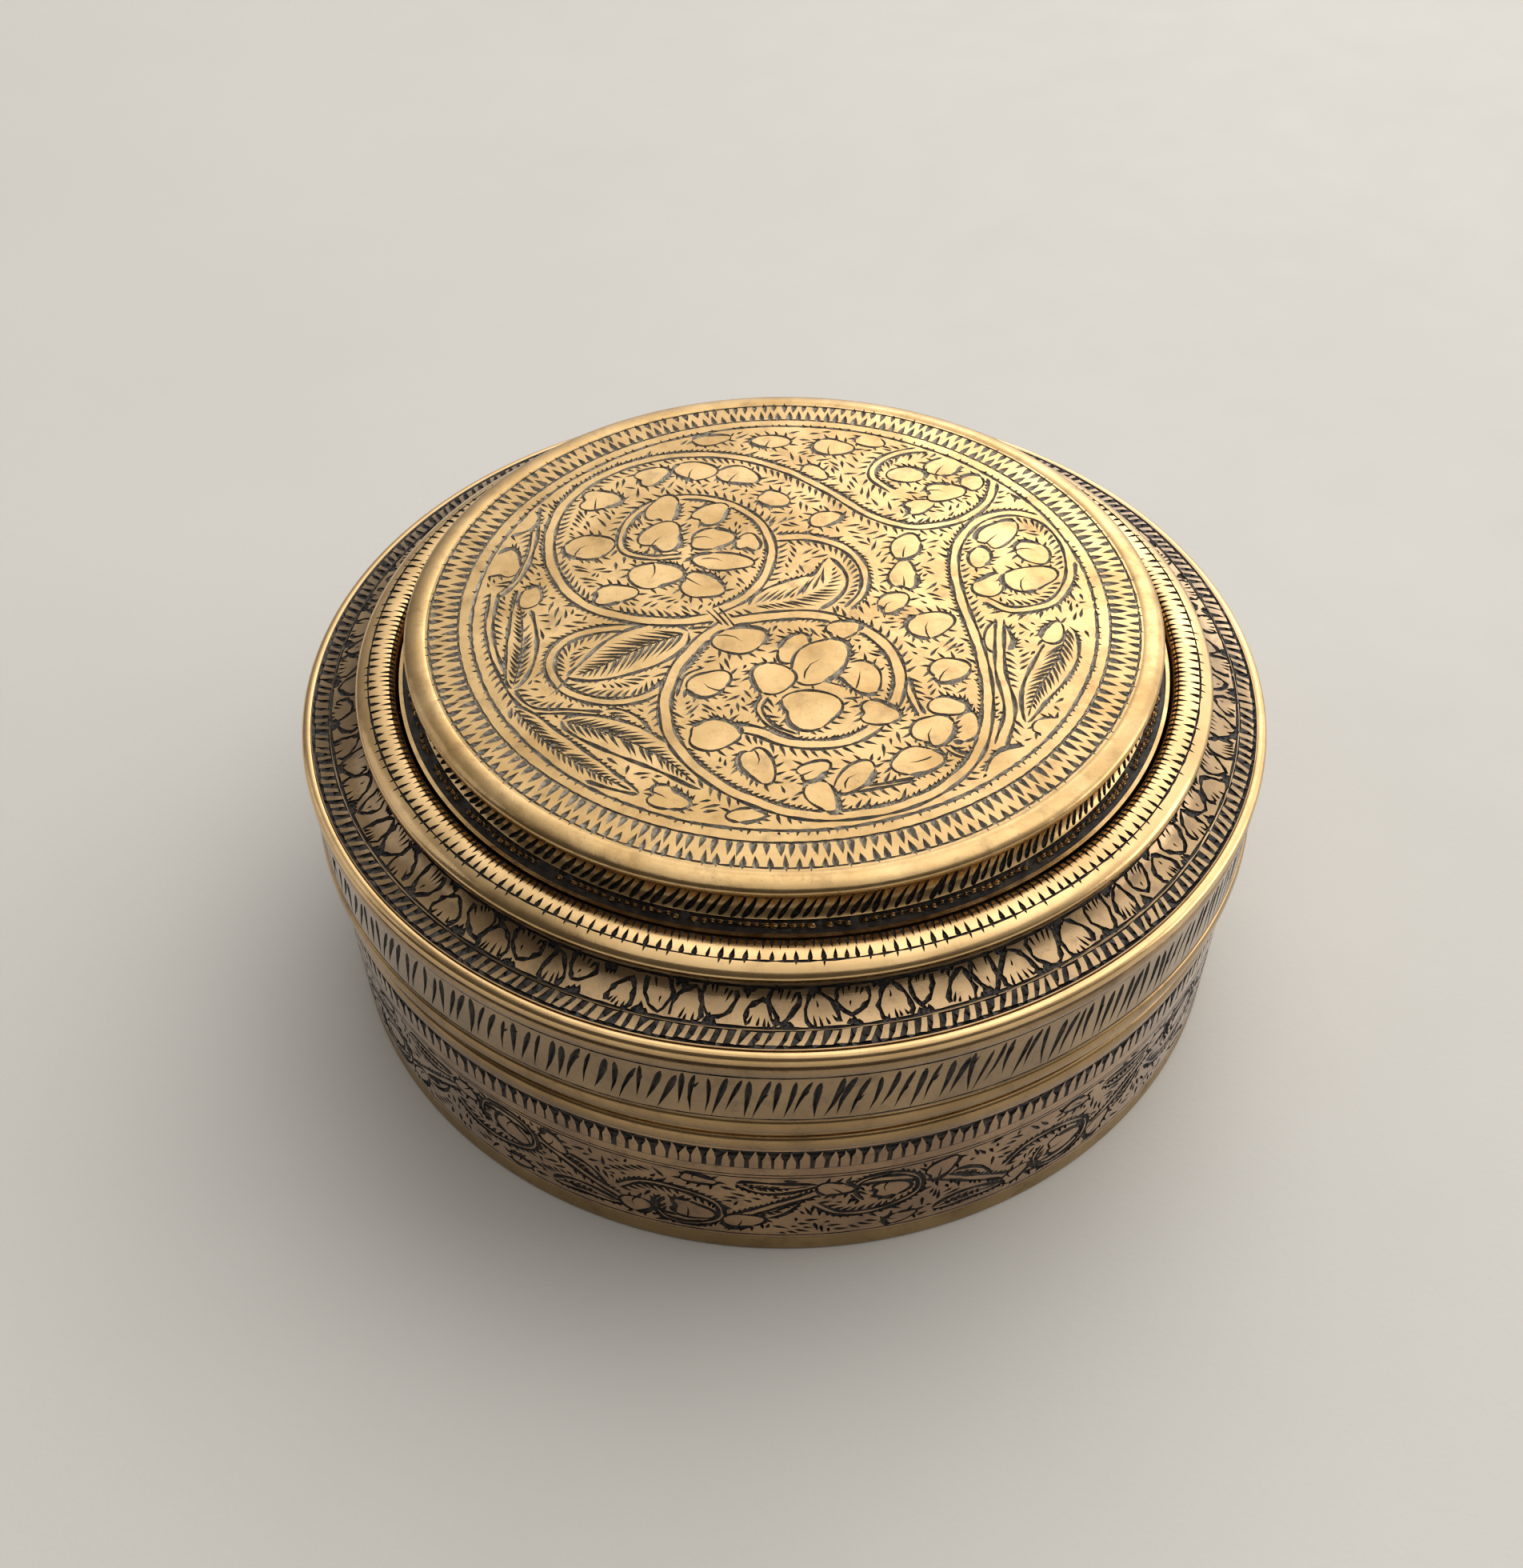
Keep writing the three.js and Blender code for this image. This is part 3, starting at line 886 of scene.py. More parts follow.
    def scatter(self, spacing, length, wide):
        """Last small cuts in whatever ground is still plain."""
        for x, y in self.spots(spacing):
            q = (x + jit(0.35), y + jit(0.35))
            if self.blocked(self.taken, q):
                continue
            near, best = self.heading(q)
            a = near + (0.8 if int(best / 1.8) % 2 else -0.8) + jit(0.25)
            self.tick(q, (math.cos(a), math.sin(a)), length, wide)


# ---------------------------------------------------------------- the lid
def disc_scrolls(relief):
    """Scrolls of the top: stems curl into round medallions of petals, feathered between."""
    s = Scroll(relief, (-44, -44), (44, 44), 1.22, place=lambda q: (q[0], q[1]))
    x, y = (s.low[k] + np.arange(s.shape[k]) * s.CELL for k in (0, 1))
    away = np.hypot(x[:, None], y[None])
    s.taken[away > 43.3] = True
    s.solid[away > 43.7] = True
    # tie from which the main stems spring
    for k in (-0.9, 0.0, 0.9):
        tie = [(-10.2 + k, -1.6 + 0.3 * k), (-9 + k, -3.4), (-7.8 + k, -5.4 - 0.2 * k)]
        s.groove(smooth_path(tie), 0.3)
    # front medallion
    for p in ((-1.7, -16.2, 3.1), (3.0, -22.4, 3.9, 1.05, 10), (-6.6, -8.5, 3.1, 1.1, 20, -20),
              (-10.4, -17.4, 2.7, 1.1, 40, 150), (-9.8, -27.2, 3.1, 1.05, 0), (4.6, -13.2, 3.9, 1.25, 52, 60),
              (10.2, -15.4, 3.1, 1.15, -65, 80), (1.2, -10.4, 2.4, 1.3, 60), (6.0, -18.7, 2.0, 1.6, -8),
              (12.2, -23.0, 2.5, 1.1, 0), (8.0, -6.2, 2.1, 1.25, 30),
              (-3.6, -32.3, 2.5, 1.3, -70, -80), (3.5, -33.9, 1.9, 1.2, 30, 30),
              (4.7, -38.0, 2.2, 1.35, -60), (9.0, -35.0, 2.4, 1.4, 55, 60),
              (20.3, -5.0, 3.0, 1.1, 20, 90), (22.3, -14.6, 2.6, 1.2, 30, 60), (21.6, -21.6, 2.1, 1.1, 0),
              (19.6, -26.5, 2.9, 1.1, 60, 90), (23.8, -26.0, 2.2, 1.25, 70),
              (16.8, -32.0, 2.7, 1.15, 10, 200)):
        s.petal(*p)
    ring_a = [(-9, -25.4), (-4, -26.4), (0, -28.4), (5, -29), (10, -27.4), (14, -22.8), (15.7, -16.5),
              (14.6, -10.6), (11, -6), (5, -3.2), (-1, -3.2), (-7.4, -4.4)]
    s.stem(ring_a, 1.6, 1.9, teeth=(1, 0))
    s.stem([(-2.6, -19.8), (-3.4, -22.4), (-1.6, -25.6), (1.6, -27.4)], 1.0, 0.6, teeth=(0, 1))
    s.stem([(-10.6, -14.6), (-13.2, -16.2), (-14.0, -20)], 1.3, 1.0)
    # long stem: round the front medallion, up the right side and into the right medallion
    s.stem([(-8.6, -5.2), (-12, -9), (-15, -15), (-16, -22), (-14.2, -29), (-9, -35.6), (-2, -40),
            (5, -41.7), (14, -40.2), (21, -36), (25.6, -29.4), (27.4, -20), (27, -10), (25.3, 0),
            (24.7, 8), (25.8, 14), (29.2, 19.4), (34.2, 21.4), (39, 19.4), (41.6, 13.6), (41.4, 6),
            (38.2, 0.2), (32.6, -1.6), (28.6, 0.6)], 1.8, 1.3, teeth=(1, 0))
    s.stem([(16.4, -16), (18.0, -22.5), (22.0, -30), (26, -31)], 1.1, 0.8, teeth=(0, 1))
    s.stem([(30.4, -3.6), (29.6, -14), (30.2, -22), (28.4, -29)], 1.2, 1.6)
    # back left medallion, its stem runs on round the back into the far one
    for p in ((-18.5, 14.6, 3.3, 1.05, 60, 60), (-11.2, 14.4, 2.8, 1.15, 10, 0), (-5.4, 13.4, 2, 1.1, 80),
              (-19.3, 6, 3.2, 1.05, 0, -90), (-12.4, 3.9, 2.9, 1.1, -30, -40),
              (-9.6, 9.2, 2.7, 1.5, -8, -10), (-18.4, 21.4, 2.9, 1.15, 80, 90),
              (-11.4, 20.4, 2.6, 1.2, 40), (-29.2, 12.6, 3.1, 1.1, 20, 60), (-28.6, 24.4, 2.8, 1.1, 0, 90),
              (-24.8, 1.6, 2.5, 1.2, 10), (-20.8, 30.4, 2.5, 1.1, 30), (-14.2, 32, 2.7, 1.1, 0, 80),
              (-7.4, 30.8, 2.7, 1.1, -20, 60), (-1.8, 24.6, 2.3, 1.1, -40), (-41, 8.4, 2.7, 1.15, 80),
              (-39.6, 18.6, 2.5, 1.15, 60), (-36.4, 1, 1.9, 1.2, 70)):
        s.petal(*p)
    s.stem([(-9.8, -2.2), (-5.4, 1.2), (-2.8, 6), (-1.9, 12.5), (-4, 19), (-9, 23.6), (-15.5, 25),
            (-21, 22.6), (-24, 17), (-23.6, 11.8), (-19.4, 10.1), (-15, 10.4)], 1.6, 1.0, teeth=(1, 0))
    s.stem([(-10, -3.6), (-16, -4.4), (-23, -3.2), (-29, 0), (-33, 6), (-34.8, 13), (-34.2, 21),
            (-31, 27.8), (-25, 33.2), (-17, 36.2), (-8, 35.8), (0, 32.2), (7, 26.4), (13, 20.4),
            (19.4, 17.6), (26.6, 19.6), (31.2, 25), (31.8, 31.6), (27.6, 36.6), (21.4, 37.8),
            (15.6, 35.4), (13.6, 30.6), (16.6, 26.6)], 1.8, 1.2, teeth=(1, 0))
    # teardrop leaf on the left of the tie and the hooked leaf on its right
    s.leaf([(-13.4, -6.6), (-20, -10), (-26, -14.2), (-29.6, -15.8)], 8.4, 1.2)
    s.stem([(-10, -4.8), (-18, -5.6), (-26, -6), (-31, -8.8), (-32.2, -13.4), (-30, -18), (-25, -20.6),
            (-19, -20), (-15, -15.6), (-11.6, -9.6), (-9.2, -5.6)], 1.5, 1.3, teeth=(0, 1))
    s.leaf([(-5.0, -1.0), (1.6, 0.8), (6.2, 4.4), (6.6, 10.0)], 7.6, 1.05, rib=False)
    s.stem([(-1.2, 14.8), (3.6, 14.9), (8.6, 12.6), (11.4, 8), (11.4, 2.4), (9.0, -1.6)], 1.7, 1.0,
           teeth=(1, 0))
    # right medallion and far medallion
    for p in ((34.9, 5.4, 3.1, 1.1, 20, 80), (29.4, 3.6, 2.3, 1.15, 60), (36.4, 12.0, 2.5, 1.1, -60, 0),
              (31.4, 15.6, 3.0, 1.25, 55, 50), (28.6, 10.2, 1.9, 1.3, 80), (29.8, -8.0, 2.4, 1.2, 80, 90),
              (18.6, 31.0, 2.4, 1.1, 0), (24.6, 33.2, 2.6, 1.1, 40, 60), (24.0, 26.4, 2.7, 1.15, 10, 0),
              (28.8, 29.0, 2.0, 1.1, 60), (20.0, 22.6, 2.0, 1.2, 20), (15.2, -0.4, 2.2, 1.25, 40, 60),
              (17.2, 5.4, 2.4, 1.3, 85, 90), (17.8, 12.4, 2.4, 1.25, 70, 80), (34.6, -25.6, 1.8, 1.2, 50),
              (28.8, -32.2, 2.5, 1.25, 40, 60), (-15.4, -38.4, 2.2, 1.2, -20, -30),
              (-5.2, -41.6, 1.5, 1.5, 0), (6.0, 19.4, 2.1, 1.2, 20), (7.2, 38.4, 2.5, 1.2, 0, 90),
              (-2.4, 40.0, 2.2, 1.3, 0, 70), (13.4, 40.2, 1.9, 1.3, -20),
              (36.8, 26.6, 2.2, 1.3, -50, -40), (-31.6, 29.8, 1.6, 1.2, 50),
              (-12.0, 40.4, 1.9, 1.4, 15), (4.4, 31.6, 1.9, 1.2, -40), (37.6, -6.6, 1.8, 1.4, 70)):
        s.petal(*p)
    # long leaf on the right, stems and feathered leaves round the border
    s.leaf([(40.0, -5.0), (37.6, -12), (34.0, -19), (32.2, -24.6)], 5.2, 1.1)
    s.leaf([(-36.4, -21.6), (-31, -28.6), (-24.4, -34.0), (-18.6, -37.8)], 4.6, 1.05)
    s.leaf([(-29.6, -24.2), (-22.4, -27.2), (-15.6, -31.6), (-10.6, -37.0)], 5.6, 1.05)
    s.leaf([(-36.8, -18.0), (-36.4, -11), (-37.0, -4), (-38.2, 3.0)], 4.0, 1.05)
    s.leaf([(-24.0, -22.4), (-20.2, -25.6), (-17.0, -29.8)], 3.4, 1.1)
    s.stem([(-41.6, 2.4), (-41.4, -6), (-39.0, -14), (-34.6, -21.6), (-28.6, -22.6), (-22.4, -23.2)],
           1.2, 0.7)
    s.stem([(-37.6, 24), (-37.2, 14), (-38.4, 6), (-41.4, 1)], 1.1, 0.7)
    s.stem([(8.0, -37.4), (12.6, -36.4), (17.0, -35.2)], 0.8, 0.5)
    s.hairs(1.8, 1.3)
    s.fronds(1.6, 12, 2.3, 1.25)
    s.feathers(2, 1.9, 2.0, 1.3)
    s.scatter(1.6, 2.1, 0.5)


def lid_top():
    """Scrolls inside a ring line, two facing rows of teeth, and the rolled edge."""
    r, low, top = size_of("lid_top_disc")
    edge, seat, fold = r - 3.1, low + 0.55, r - 3.2
    crown = [(x, top - 0.8 * (x / r) ** 2) for x in (0, 6, 12, 18, 24, 30, 36, 42, 46, 48.5, edge)]
    z = crown[-1][1]
    rolled = bend((edge, z), (edge + 0.55, z + 0.25), (edge + 1.4, z + 0.1), (r, z - 0.15),
                  (r, top - 1.75), (r, seat), (r - 1, seat), steps=6)
    relief = Relief([crown, rolled], 0.0, 46.0, plain_rings=[(0.5, 44)])
    scroll_edge, teeth_in, teeth_out = 44.3, 46.2, 50.35
    ring_line(relief, scroll_edge, 0.27, 0.12, 0.35)
    for u in row(relief, 230):
        if rng.random() < 0.75:
            relief.wedge((u, scroll_edge + jit(0.2)), (u + jit(0.3), 45.0 + jit(0.2)), 0.45)
    ring_line(relief, teeth_in, 0.2, 0.05, 0.3)
    ring_line(relief, teeth_out, 0.17, 0.05, 0.3)
    for u in row(relief, 190):
        relief.wedge((u, 46.1), (u + jit(0.25), 48.6 + jit(0.4)), 1.0 + jit(0.18), bow=jit(0.04), tail=0.7)
        u += 0.74 + jit(0.12)
        relief.wedge((u, 50.45 + jit(0.1)), (u + jit(0.25), 48.4 + jit(0.4)), 0.86 + jit(0.18), tail=0.7)
        if rng.random() < 0.5:
            relief.wedge((u, 50.4), (u + jit(0.1), 50.95 + jit(0.15)), 0.22)
    disc_scrolls(relief)
    back = [*flats((r - 1, seat), (fold, low), (fold, low + 1.35)),
            [(fold, low + 1.35), (40, low + 1.7), (20, low + 2.1), (0, low + 2.2)]]
    # The top's cuts take the lighter cut colour, a painted sky reflection.
    relief.finish("lid_top_plate", "lid", ["lid_top_disc"], [lands, sky_lit_cut], back)


def lid_neck():
    """Slanting cuts on the hollow neck, and a row of punched beads at its foot."""
    r, low, _ = size_of("lid_neck")
    seat = size_of("lid_top_disc")[1] + 0.2
    curve = bend((r - 3.7, seat), (r - 3.95, low + 2.6), (r - 1.7, low + 1.85), (r - 0.9, low + 1.65),
                 (r, low + 1.6), steps=6)
    relief = Relief([curve, [(r, low + 1.6), (r, low)]], 40.0, r - 2, ground=[(4.55, 6.5)])
    for u in row(relief, 225):
        relief.wedge((u - 1.15, 4.4 + jit(0.12)), (u + 1.15 + jit(0.3), 1.2 + jit(0.6)), 0.78 + jit(0.16),
                     bow=0.05 + jit(0.05), tail=0.4)
    for u in row(relief, 300):
        if rng.random() < 0.86:
            relief.bead(u, 5.3 + jit(0.16), 0.34 + jit(0.07), 0.4, rng.uniform(1.0, 1.35))
    back = [*flats((r, low), (r - 1, low), (r - 1, low + 0.9)),
            [(r - 1, low + 0.9), (r - 3.3, low + 1.1), (r - 4.7, low + 2.4), (r - 4.7, seat)],
            [(r - 4.7, seat), (r - 3.7, seat)]]
    relief.finish("lid_neck_band", "lid", ["lid_neck"], [lands, dark_cut], back)


def lid_moulding():
    """Two rows of cuts on the half-round, either side of its crest."""
    r, low, top = size_of("lid_moulding")
    face = bend((r - 5.95, low + 0.9), (r - 5.7, top), (r - 4.4, top - 0.02), (r - 3, top + 0.02),
                (r - 1.8, top - 0.3), (r - 0.05, top - 0.75), (r, low + 0.9), (r, low), (r - 0.8, low))
    relief = Relief([face], 50.0, r - 4)
    for u in row(relief, 350):
        relief.wedge((u, 0.95 + jit(0.1)), (u + jit(0.12), 3.1 + jit(0.3)), 0.62 + jit(0.1), tail=0.6)
    ring_line(relief, 4.85, 0.14, 0.05, 0.5)
    for u in row(relief, 240):
        relief.wedge((u, 4.9), (u + 0.1 + jit(0.15), 3.25 + jit(0.3)), 0.62 + jit(0.16), tail=0.7)
        if rng.random() < 0.6:
            relief.wedge((u, 4.85), (u - 0.05 + jit(0.1), 5.55 + jit(0.25)), 0.3, tail=0.8)
    back = flats((r - 0.8, low), (r - 5.4, low), (r - 5.95, low + 0.9))
    relief.finish("lid_half_round", "lid", ["lid_moulding"], [polished, dark_cut], back)


def shoulder_leaf(relief, root, turn, long, wide):
    """Leaf outlined by a bold cut, ribbed at its root. A turn of 0 points it up the band."""
    c, d = math.cos(turn), math.sin(turn)

    def at(x, y):
        return root[0] + x * c + y * d, min(max(root[1] + x * d - y * c, 0.95), 6.1)

    left, right = [], []
    for t in (0.0, 0.14, 0.3, 0.46, 0.62, 0.78, 0.9):
        half = wide / 2 * math.sin(math.pi * (0.24 + 0.76 * t ** 0.9)) ** 0.7
        left.append(at(-half * (1 + jit(0.1)), long * t))
        right.append(at(half * (1 + jit(0.1)), long * t))
    outline = left + [at(jit(0.25), long)] + right[::-1]
    relief.stroke(outline, [0.5 * (0.62 + jit(0.3)) for _ in outline], deep=0.3)
    for k in (-0.3, -0.1, 0.12, 0.32):
        if rng.random() < 0.85:
            x, reach = wide * (k + jit(0.05)), rng.uniform(0.2, 0.46)
            relief.wedge(at(x, 0.1), at(x * 0.75, long * reach), 0.4, tail=0.8, fine=False)
    if rng.random() < 0.5:
        x, y = wide * jit(0.12), long * rng.uniform(0.5, 0.6)
        relief.wedge(at(x, y), at(x * 0.4, y + long * 0.22), 0.3, bow=0.1, fine=False)


def lid_shoulder():
    """Leaves that point up and down by turns on the slope, and slanting bars on the flat edge."""
    r, low, top = size_of("lid_shoulder")
    crease = (r - 2.8, top - 2.85)
    cove = bend((r - 7.9, top + 0.2), (r - 7.0, top - 2.2), crease, steps=9)
    relief = Relief([cove, [crease, (r - 2.6, top - 3.02), (r, low + 1.0)]], 50.0, r - 3,
                    ground=[(6.45, 8.98)])
    leaves, head, foot = 92, 1.05, 6.0
    aside = TAU * relief.hub / leaves       # mm from a leaf to the cuts beside its root
    for k, u in enumerate(row(relief, leaves)):
        u += jit(0.35)
        root, turn, side = (head, math.pi, -1) if k % 2 else (foot, 0.0, 1)
        shoulder_leaf(relief, (u, root), turn + jit(0.38), 4.3 + jit(0.8), 4.0 + jit(1.0))
        for shift in (-0.32, 0.0, 0.3):
            x = u + aside * (1 + shift * 0.5) + jit(0.15)
            relief.wedge((x, root), (x + jit(0.15), root - side * (1.3 + jit(0.4) - abs(shift))),
                         0.95 + jit(0.2), tail=1.0, fine=False)
    ring_line(relief, 0.95, 0.2, 0.08, 0.4)
    ring_line(relief, 6.1, 0.18, 0.08, 0.4)
    for u in row(relief, 262):
        wide, lean = 0.56 + jit(0.12), 0.45 + jit(0.25)
        if rng.random() < 0.1:
            wide *= 1.5
        low_v, high_v = 6.62 + jit(0.12), 8.5 + jit(0.1)
        relief.island([(u + lean - wide * 0.7, low_v), (u + lean + wide * 0.5, low_v + jit(0.1)),
                       (u + wide * 0.75, 7.5 + jit(0.15)), (u - lean + wide * 0.9, high_v),
                       (u - lean - wide * 0.6, high_v - abs(jit(0.15))), (u - wide * 0.55, 7.6 + jit(0.2))])
    back = [[(r, low + 1.0), (r, low)],
            [(r, low), (r - 2.9, top - 3.9), (r - 8.3, top - 1.4), (r - 8.6, top - 1)],
            *flats((r - 8.6, top - 1), (r - 8.6, top + 0.2), (r - 7.9, top + 0.2))]
    # The shoulder's lands are darkened as painted shade.
    relief.finish("lid_shoulder_leafwork", "lid", ["lid_shoulder"], [slopes_shaded, dark_cut],
                  back)


def lid_skirt():
    """Bead under the rim, and slanting cuts on the upright wall, some of them forked."""
    _, low, top = size_of("lid_skirt")
    r, foot, head = SKIRT_R, low - 0.2, top + 0.2
    bead = bend((r - 0.25, head), (r + 0.3, top), (r + 0.33, top - 0.9), (r + 0.33, top - 1.75),
                (r - 0.1, top - 1.95))
    relief = Relief([bead, [bead[-1], (r, foot)]], 60.0, r)
    first = relief.spans[1][0][0]
    ring_line(relief, first + 0.25, 0.13, 0.05, 0.3)
    ring_line(relief, relief.length - 0.35, 0.12, 0.1, 0.3)
    for u in row(relief, 250):
        high, tall = first + 0.5 + abs(jit(0.9)), 7.4 + jit(0.9)
        tall = min(tall, relief.length - 0.4 - high)
        lean = 1.7 + jit(1.1)
        wide = 0.82 + jit(0.26)
        relief.wedge((u + lean / 2, high), (u - lean / 2, high + tall), wide, bow=jit(0.05), tail=0.25)
        if rng.random() < 0.45:
            k = rng.uniform(0.2, 0.6)
            x, y = u + lean * (0.5 - k), high + tall * k
            relief.wedge((x, y), (x + 0.75 + jit(0.2), y - 1.1 + jit(0.3)), 0.42, tail=0.9)
    back = flats((r, foot), (r - 1.2, foot), (r - 1.2, head), (r - 0.25, head))
    # The skirt's lands are darkened as painted shade.
    relief.finish("lid_skirt_hatching", "lid", ["lid_skirt"], [slopes_shaded, dark_cut], back)


def lid_rim():
    r, low, top = size_of("lid_rim")
    inner, foot = r - 1.35, low - 0.08
    turned("lid_rim_bead", "lid", "lid_rim", [polished], [
        bend((inner, top - 0.15), (r - 1.0, top + 0.02), (r - 0.6, top - 0.12), (r, top - 0.35), (r, low + 1),
             (r, low), (r - 0.7, foot), steps=6),
        *flats((r - 0.7, foot), (inner, foot), (inner, top - 0.15))])


def lid_mouth():
    r, low, top = size_of("lid_edge_band")
    inner = r - 2.05
    # The mouth band's brass is darkened as painted shade.
    turned("lid_mouth_band", "lid", "lid_edge_band", [mouth_bands_shaded], [
        bend((r - 0.5, top + 0.1), (r, top), (r, low + 1.2), (r, low), (r - 0.6, low), steps=6),
        [(r - 0.6, low), (inner + 0.3, low)],
        bend((inner + 0.3, low), (inner, low), (inner, low + 0.4), steps=3),
        *flats((inner, low + 0.4), (inner, top + 0.1), (r - 0.5, top + 0.1))])


lid_top()
lid_neck()
lid_moulding()
lid_shoulder()
lid_skirt()
lid_rim()
lid_mouth()

# ---------------------------------------------------------------- the base
wall_r, wall_low, wall_top = size_of("body_wall")
base_r, _, base_top = size_of("base_plate")


def body_scrolls(relief, top, foot):
    """Running vine of the body: a wave with a round scroll and two buds in every bay."""
    around = TAU * relief.ref
    s = Scroll(relief, (0, top), (around, foot), 1.4, round_about=around)
    mid, bays = (top + foot) / 2, 16
    bay = around / bays
    for k in range(bays):
        x, up = (k + 0.5) * bay, 1 if k % 2 else -1
        y = mid + up * 2.3
        for across, stray, lift, r, long, tilt in (
                (0.0, 0.5, 0.0, 2.35, 1.15, 30),
                (-7.6, 0.6, 2.0, 1.9, 1.2, 40),
                (7.4, 0.6, 1.9, 2.0, 1.25, 40)):
            s.petal(x + across + jit(stray), y + up * lift + jit(0.3), r + jit(0.2), long, jit(tilt),
                    rng.uniform(0, 360))
        s.petal(x + 1.0 + jit(1), mid - up * 5.6, 1.5, 1.5, jit(20), rng.uniform(0, 360))
        curl = [(x - 9.5, mid + up * 0.6), (x - 6.0, mid - up * 2.2), (x - 0.5, y - up * 4.6),
                (x + 4.4, y - up * 2.2), (x + 4.6, y + up * 1.6), (x + 1.2, y + up * 3.7),
                (x - 3.0, y + up * 3.2), (x - 4.3, y + up * 0.4), (x - 3.1, y - up * 2.0)]
        s.stem(curl, 1.0, 0.7, teeth=(1, 0) if up < 0 else (0, 1))
    wave = []
    for k in range(bays * 4 + 1):
        a = k / 4 * math.pi
        wave.append((k * bay / 4, mid - 5.1 * math.cos(a - math.pi / 2 + 0.2)))
    s.stem(wave, 1.25, teeth=(1, 1))
    for k in range(bays):
        x, up = k * bay, 1 if k % 2 else -1
        s.leaf([(x - 6.4, mid + up * 5.4), (x - 1.5, mid + up * 4.5), (x + 4.5, mid + up * 5.2)], 2.4, 1.0)
        s.leaf([(x - 4.0, mid - up * 2.6), (x - 0.5, mid - up * 0.6), (x + 2.4, mid + up * 2.2)], 2.4, 1.0)
    s.hairs(1.6, 1.35)
    s.fronds(1.5, 11, 2.2, 1.15)
    s.feathers(2, 1.6, 1.9, 1.25)
    s.scatter(1.4, 2.2, 0.55)


def body_wall():
    """Row of raised teeth on a beaten ground, then the vine between lines."""
    high, low = wall_top + 0.3, wall_low - 0.2
    relief = Relief([[(wall_r, high), (base_r, low)]], 56.0, wall_r, ground=[(0.55, 4.7)])

    def down(z):
        return high - z

    for u in row(relief, 250):
        lift = jit(0.35)
        relief.island([(u - 0.62 + jit(0.08), down(20.6)), (u + 0.58 + jit(0.08), down(20.6)),
                       (u + 0.68 + jit(0.1), down(22.3 + jit(0.3))), (u + 0.42 + jit(0.2), down(23.4 + lift)),
                       (u + 0.15 + jit(0.3), down(24.4 + lift)), (u - 0.2 + jit(0.15), down(23.3 + lift)),
                       (u - 0.52 + jit(0.12), down(22.4 + jit(0.4)))])
    body_scrolls(relief, down(17.9), down(4.2))
    ring_line(relief, down(18.85), 0.1, 0.04, 0.3)
    ring_line(relief, down(18.25), 0.12, 0.04, 0.3)
    ring_line(relief, down(3.75), 0.12, 0.04, 0.3)
    back = flats((base_r, low), (base_r - SHEET, low), (wall_r - SHEET, high), (wall_r, high))
    # The wall brass is darkened partly by tarnish and partly as painted shade.
    relief.finish("body_wall_bands", "base", ["body_wall"], [walls_tarnish_and_shade, dark_cut], back)


def body_mouth():
    r, low, top = size_of("body_rim")
    inner, lip, neck = 67.8, 68.55, 68.6
    foot = (wall_r - 0.05, low - 0.05)
    # The body's mouth bead is darkened as painted shade.
    turned("body_mouth_bead", "base", "body_rim", [mouth_bands_shaded], [
        bend((68.2, top), (lip, top), (lip, top - 0.4), steps=3),
        [(lip, top - 0.4), (neck, top - 1.9)],
        bend((neck, top - 1.9), (r, top - 2.0), (r, top - 3.2), (r, low + 0.1), foot, steps=6),
        *flats(foot, (inner, low - 0.05), (inner, top), (68.2, top))])


def locating_collar():
    r, low, top = size_of("inner_collar")
    inner = r - 0.9
    turned("locating_collar", "base", "inner_collar", [inner_brass], [
        bend((inner, top - 0.2), (r - 0.6, top), (r - 0.4, top), (r, top), (r, top - 0.9), steps=3),
        *flats((r, top - 0.9), (r, low), (inner, low), (inner, top - 0.2))])


def base_dish():
    """Dish of the floor, with turned grooves underneath."""
    r, top, floor, inner, hollow = base_r, base_top, 1.2, base_r - 1, 0.35
    turned("base_dish", "base", "base_plate", [inner_brass], [
        [(0, floor), (r - 1.4, floor)],
        bend((r - 1.4, floor), (inner, 1.25), (inner, 1.7), steps=3),
        *flats((inner, 1.7), (inner, top), (r - 0.25, top)),
        bend((r - 0.25, top), (r, top - 0.05), (r, top - 0.5), steps=3),
        [(r, top - 0.5), (r, 0.6)],
        bend((r, 0.6), (r, 0), (r - 0.6, 0), steps=4),
        *flats((r - 0.6, 0), (60, 0), (59.6, hollow), (59.2, 0), (58, 0), (57.6, hollow), (30.4, hollow),
               (30, 0.6), (29.6, hollow), (0, hollow))])


body_wall()
body_mouth()
locating_collar()
base_dish()


# ---------------------------------------------------------------- cups and spoon
def grooved(r, top, lines, foot, wide=0.45, deep=0.22):
    """Runs of an upright wall with narrow turned grooves at the given heights."""
    points = [(r, top)]
    for line in lines:
        points += [(r, line + wide / 2), (r - deep, line), (r, line - wide / 2)]
    return flats(*points, (r, foot))


def add_cup(node):
    low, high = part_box(node)
    at = ((low.x + high.x) / 2 / MM, (low.y + high.y) / 2 / MM, low.z / MM)
    r, h = (high.x - low.x) / 2 / MM, (high.z - low.z) / MM
    outer, inner = r - 0.7, r - 0.7 - 0.9
    turned(node + "_bowl", node, node, [cup_metal], [
        bend((0, 0.9), (8, 0.9), (14.2, 0.95), (inner, 1.4), (inner, 7), steps=8),
        [(inner, 7), (inner, h - 0.5)],
        bend((inner, h - 0.5), (outer - 0.85, h), (r - 0.8, h), (r, h), (r, h - 0.75), (r, h - 1.4),
             (outer, h - 1.5)),
        *grooved(outer, h - 1.5, (h - 4.2, h - 5.3, 9.2), 7),
        bend((outer, 7), (outer, 0.3), (15, 0), steps=8),
        *flats((15, 0), (13.4, 0), (12.9, 0.4), (0, 0.5))], at)


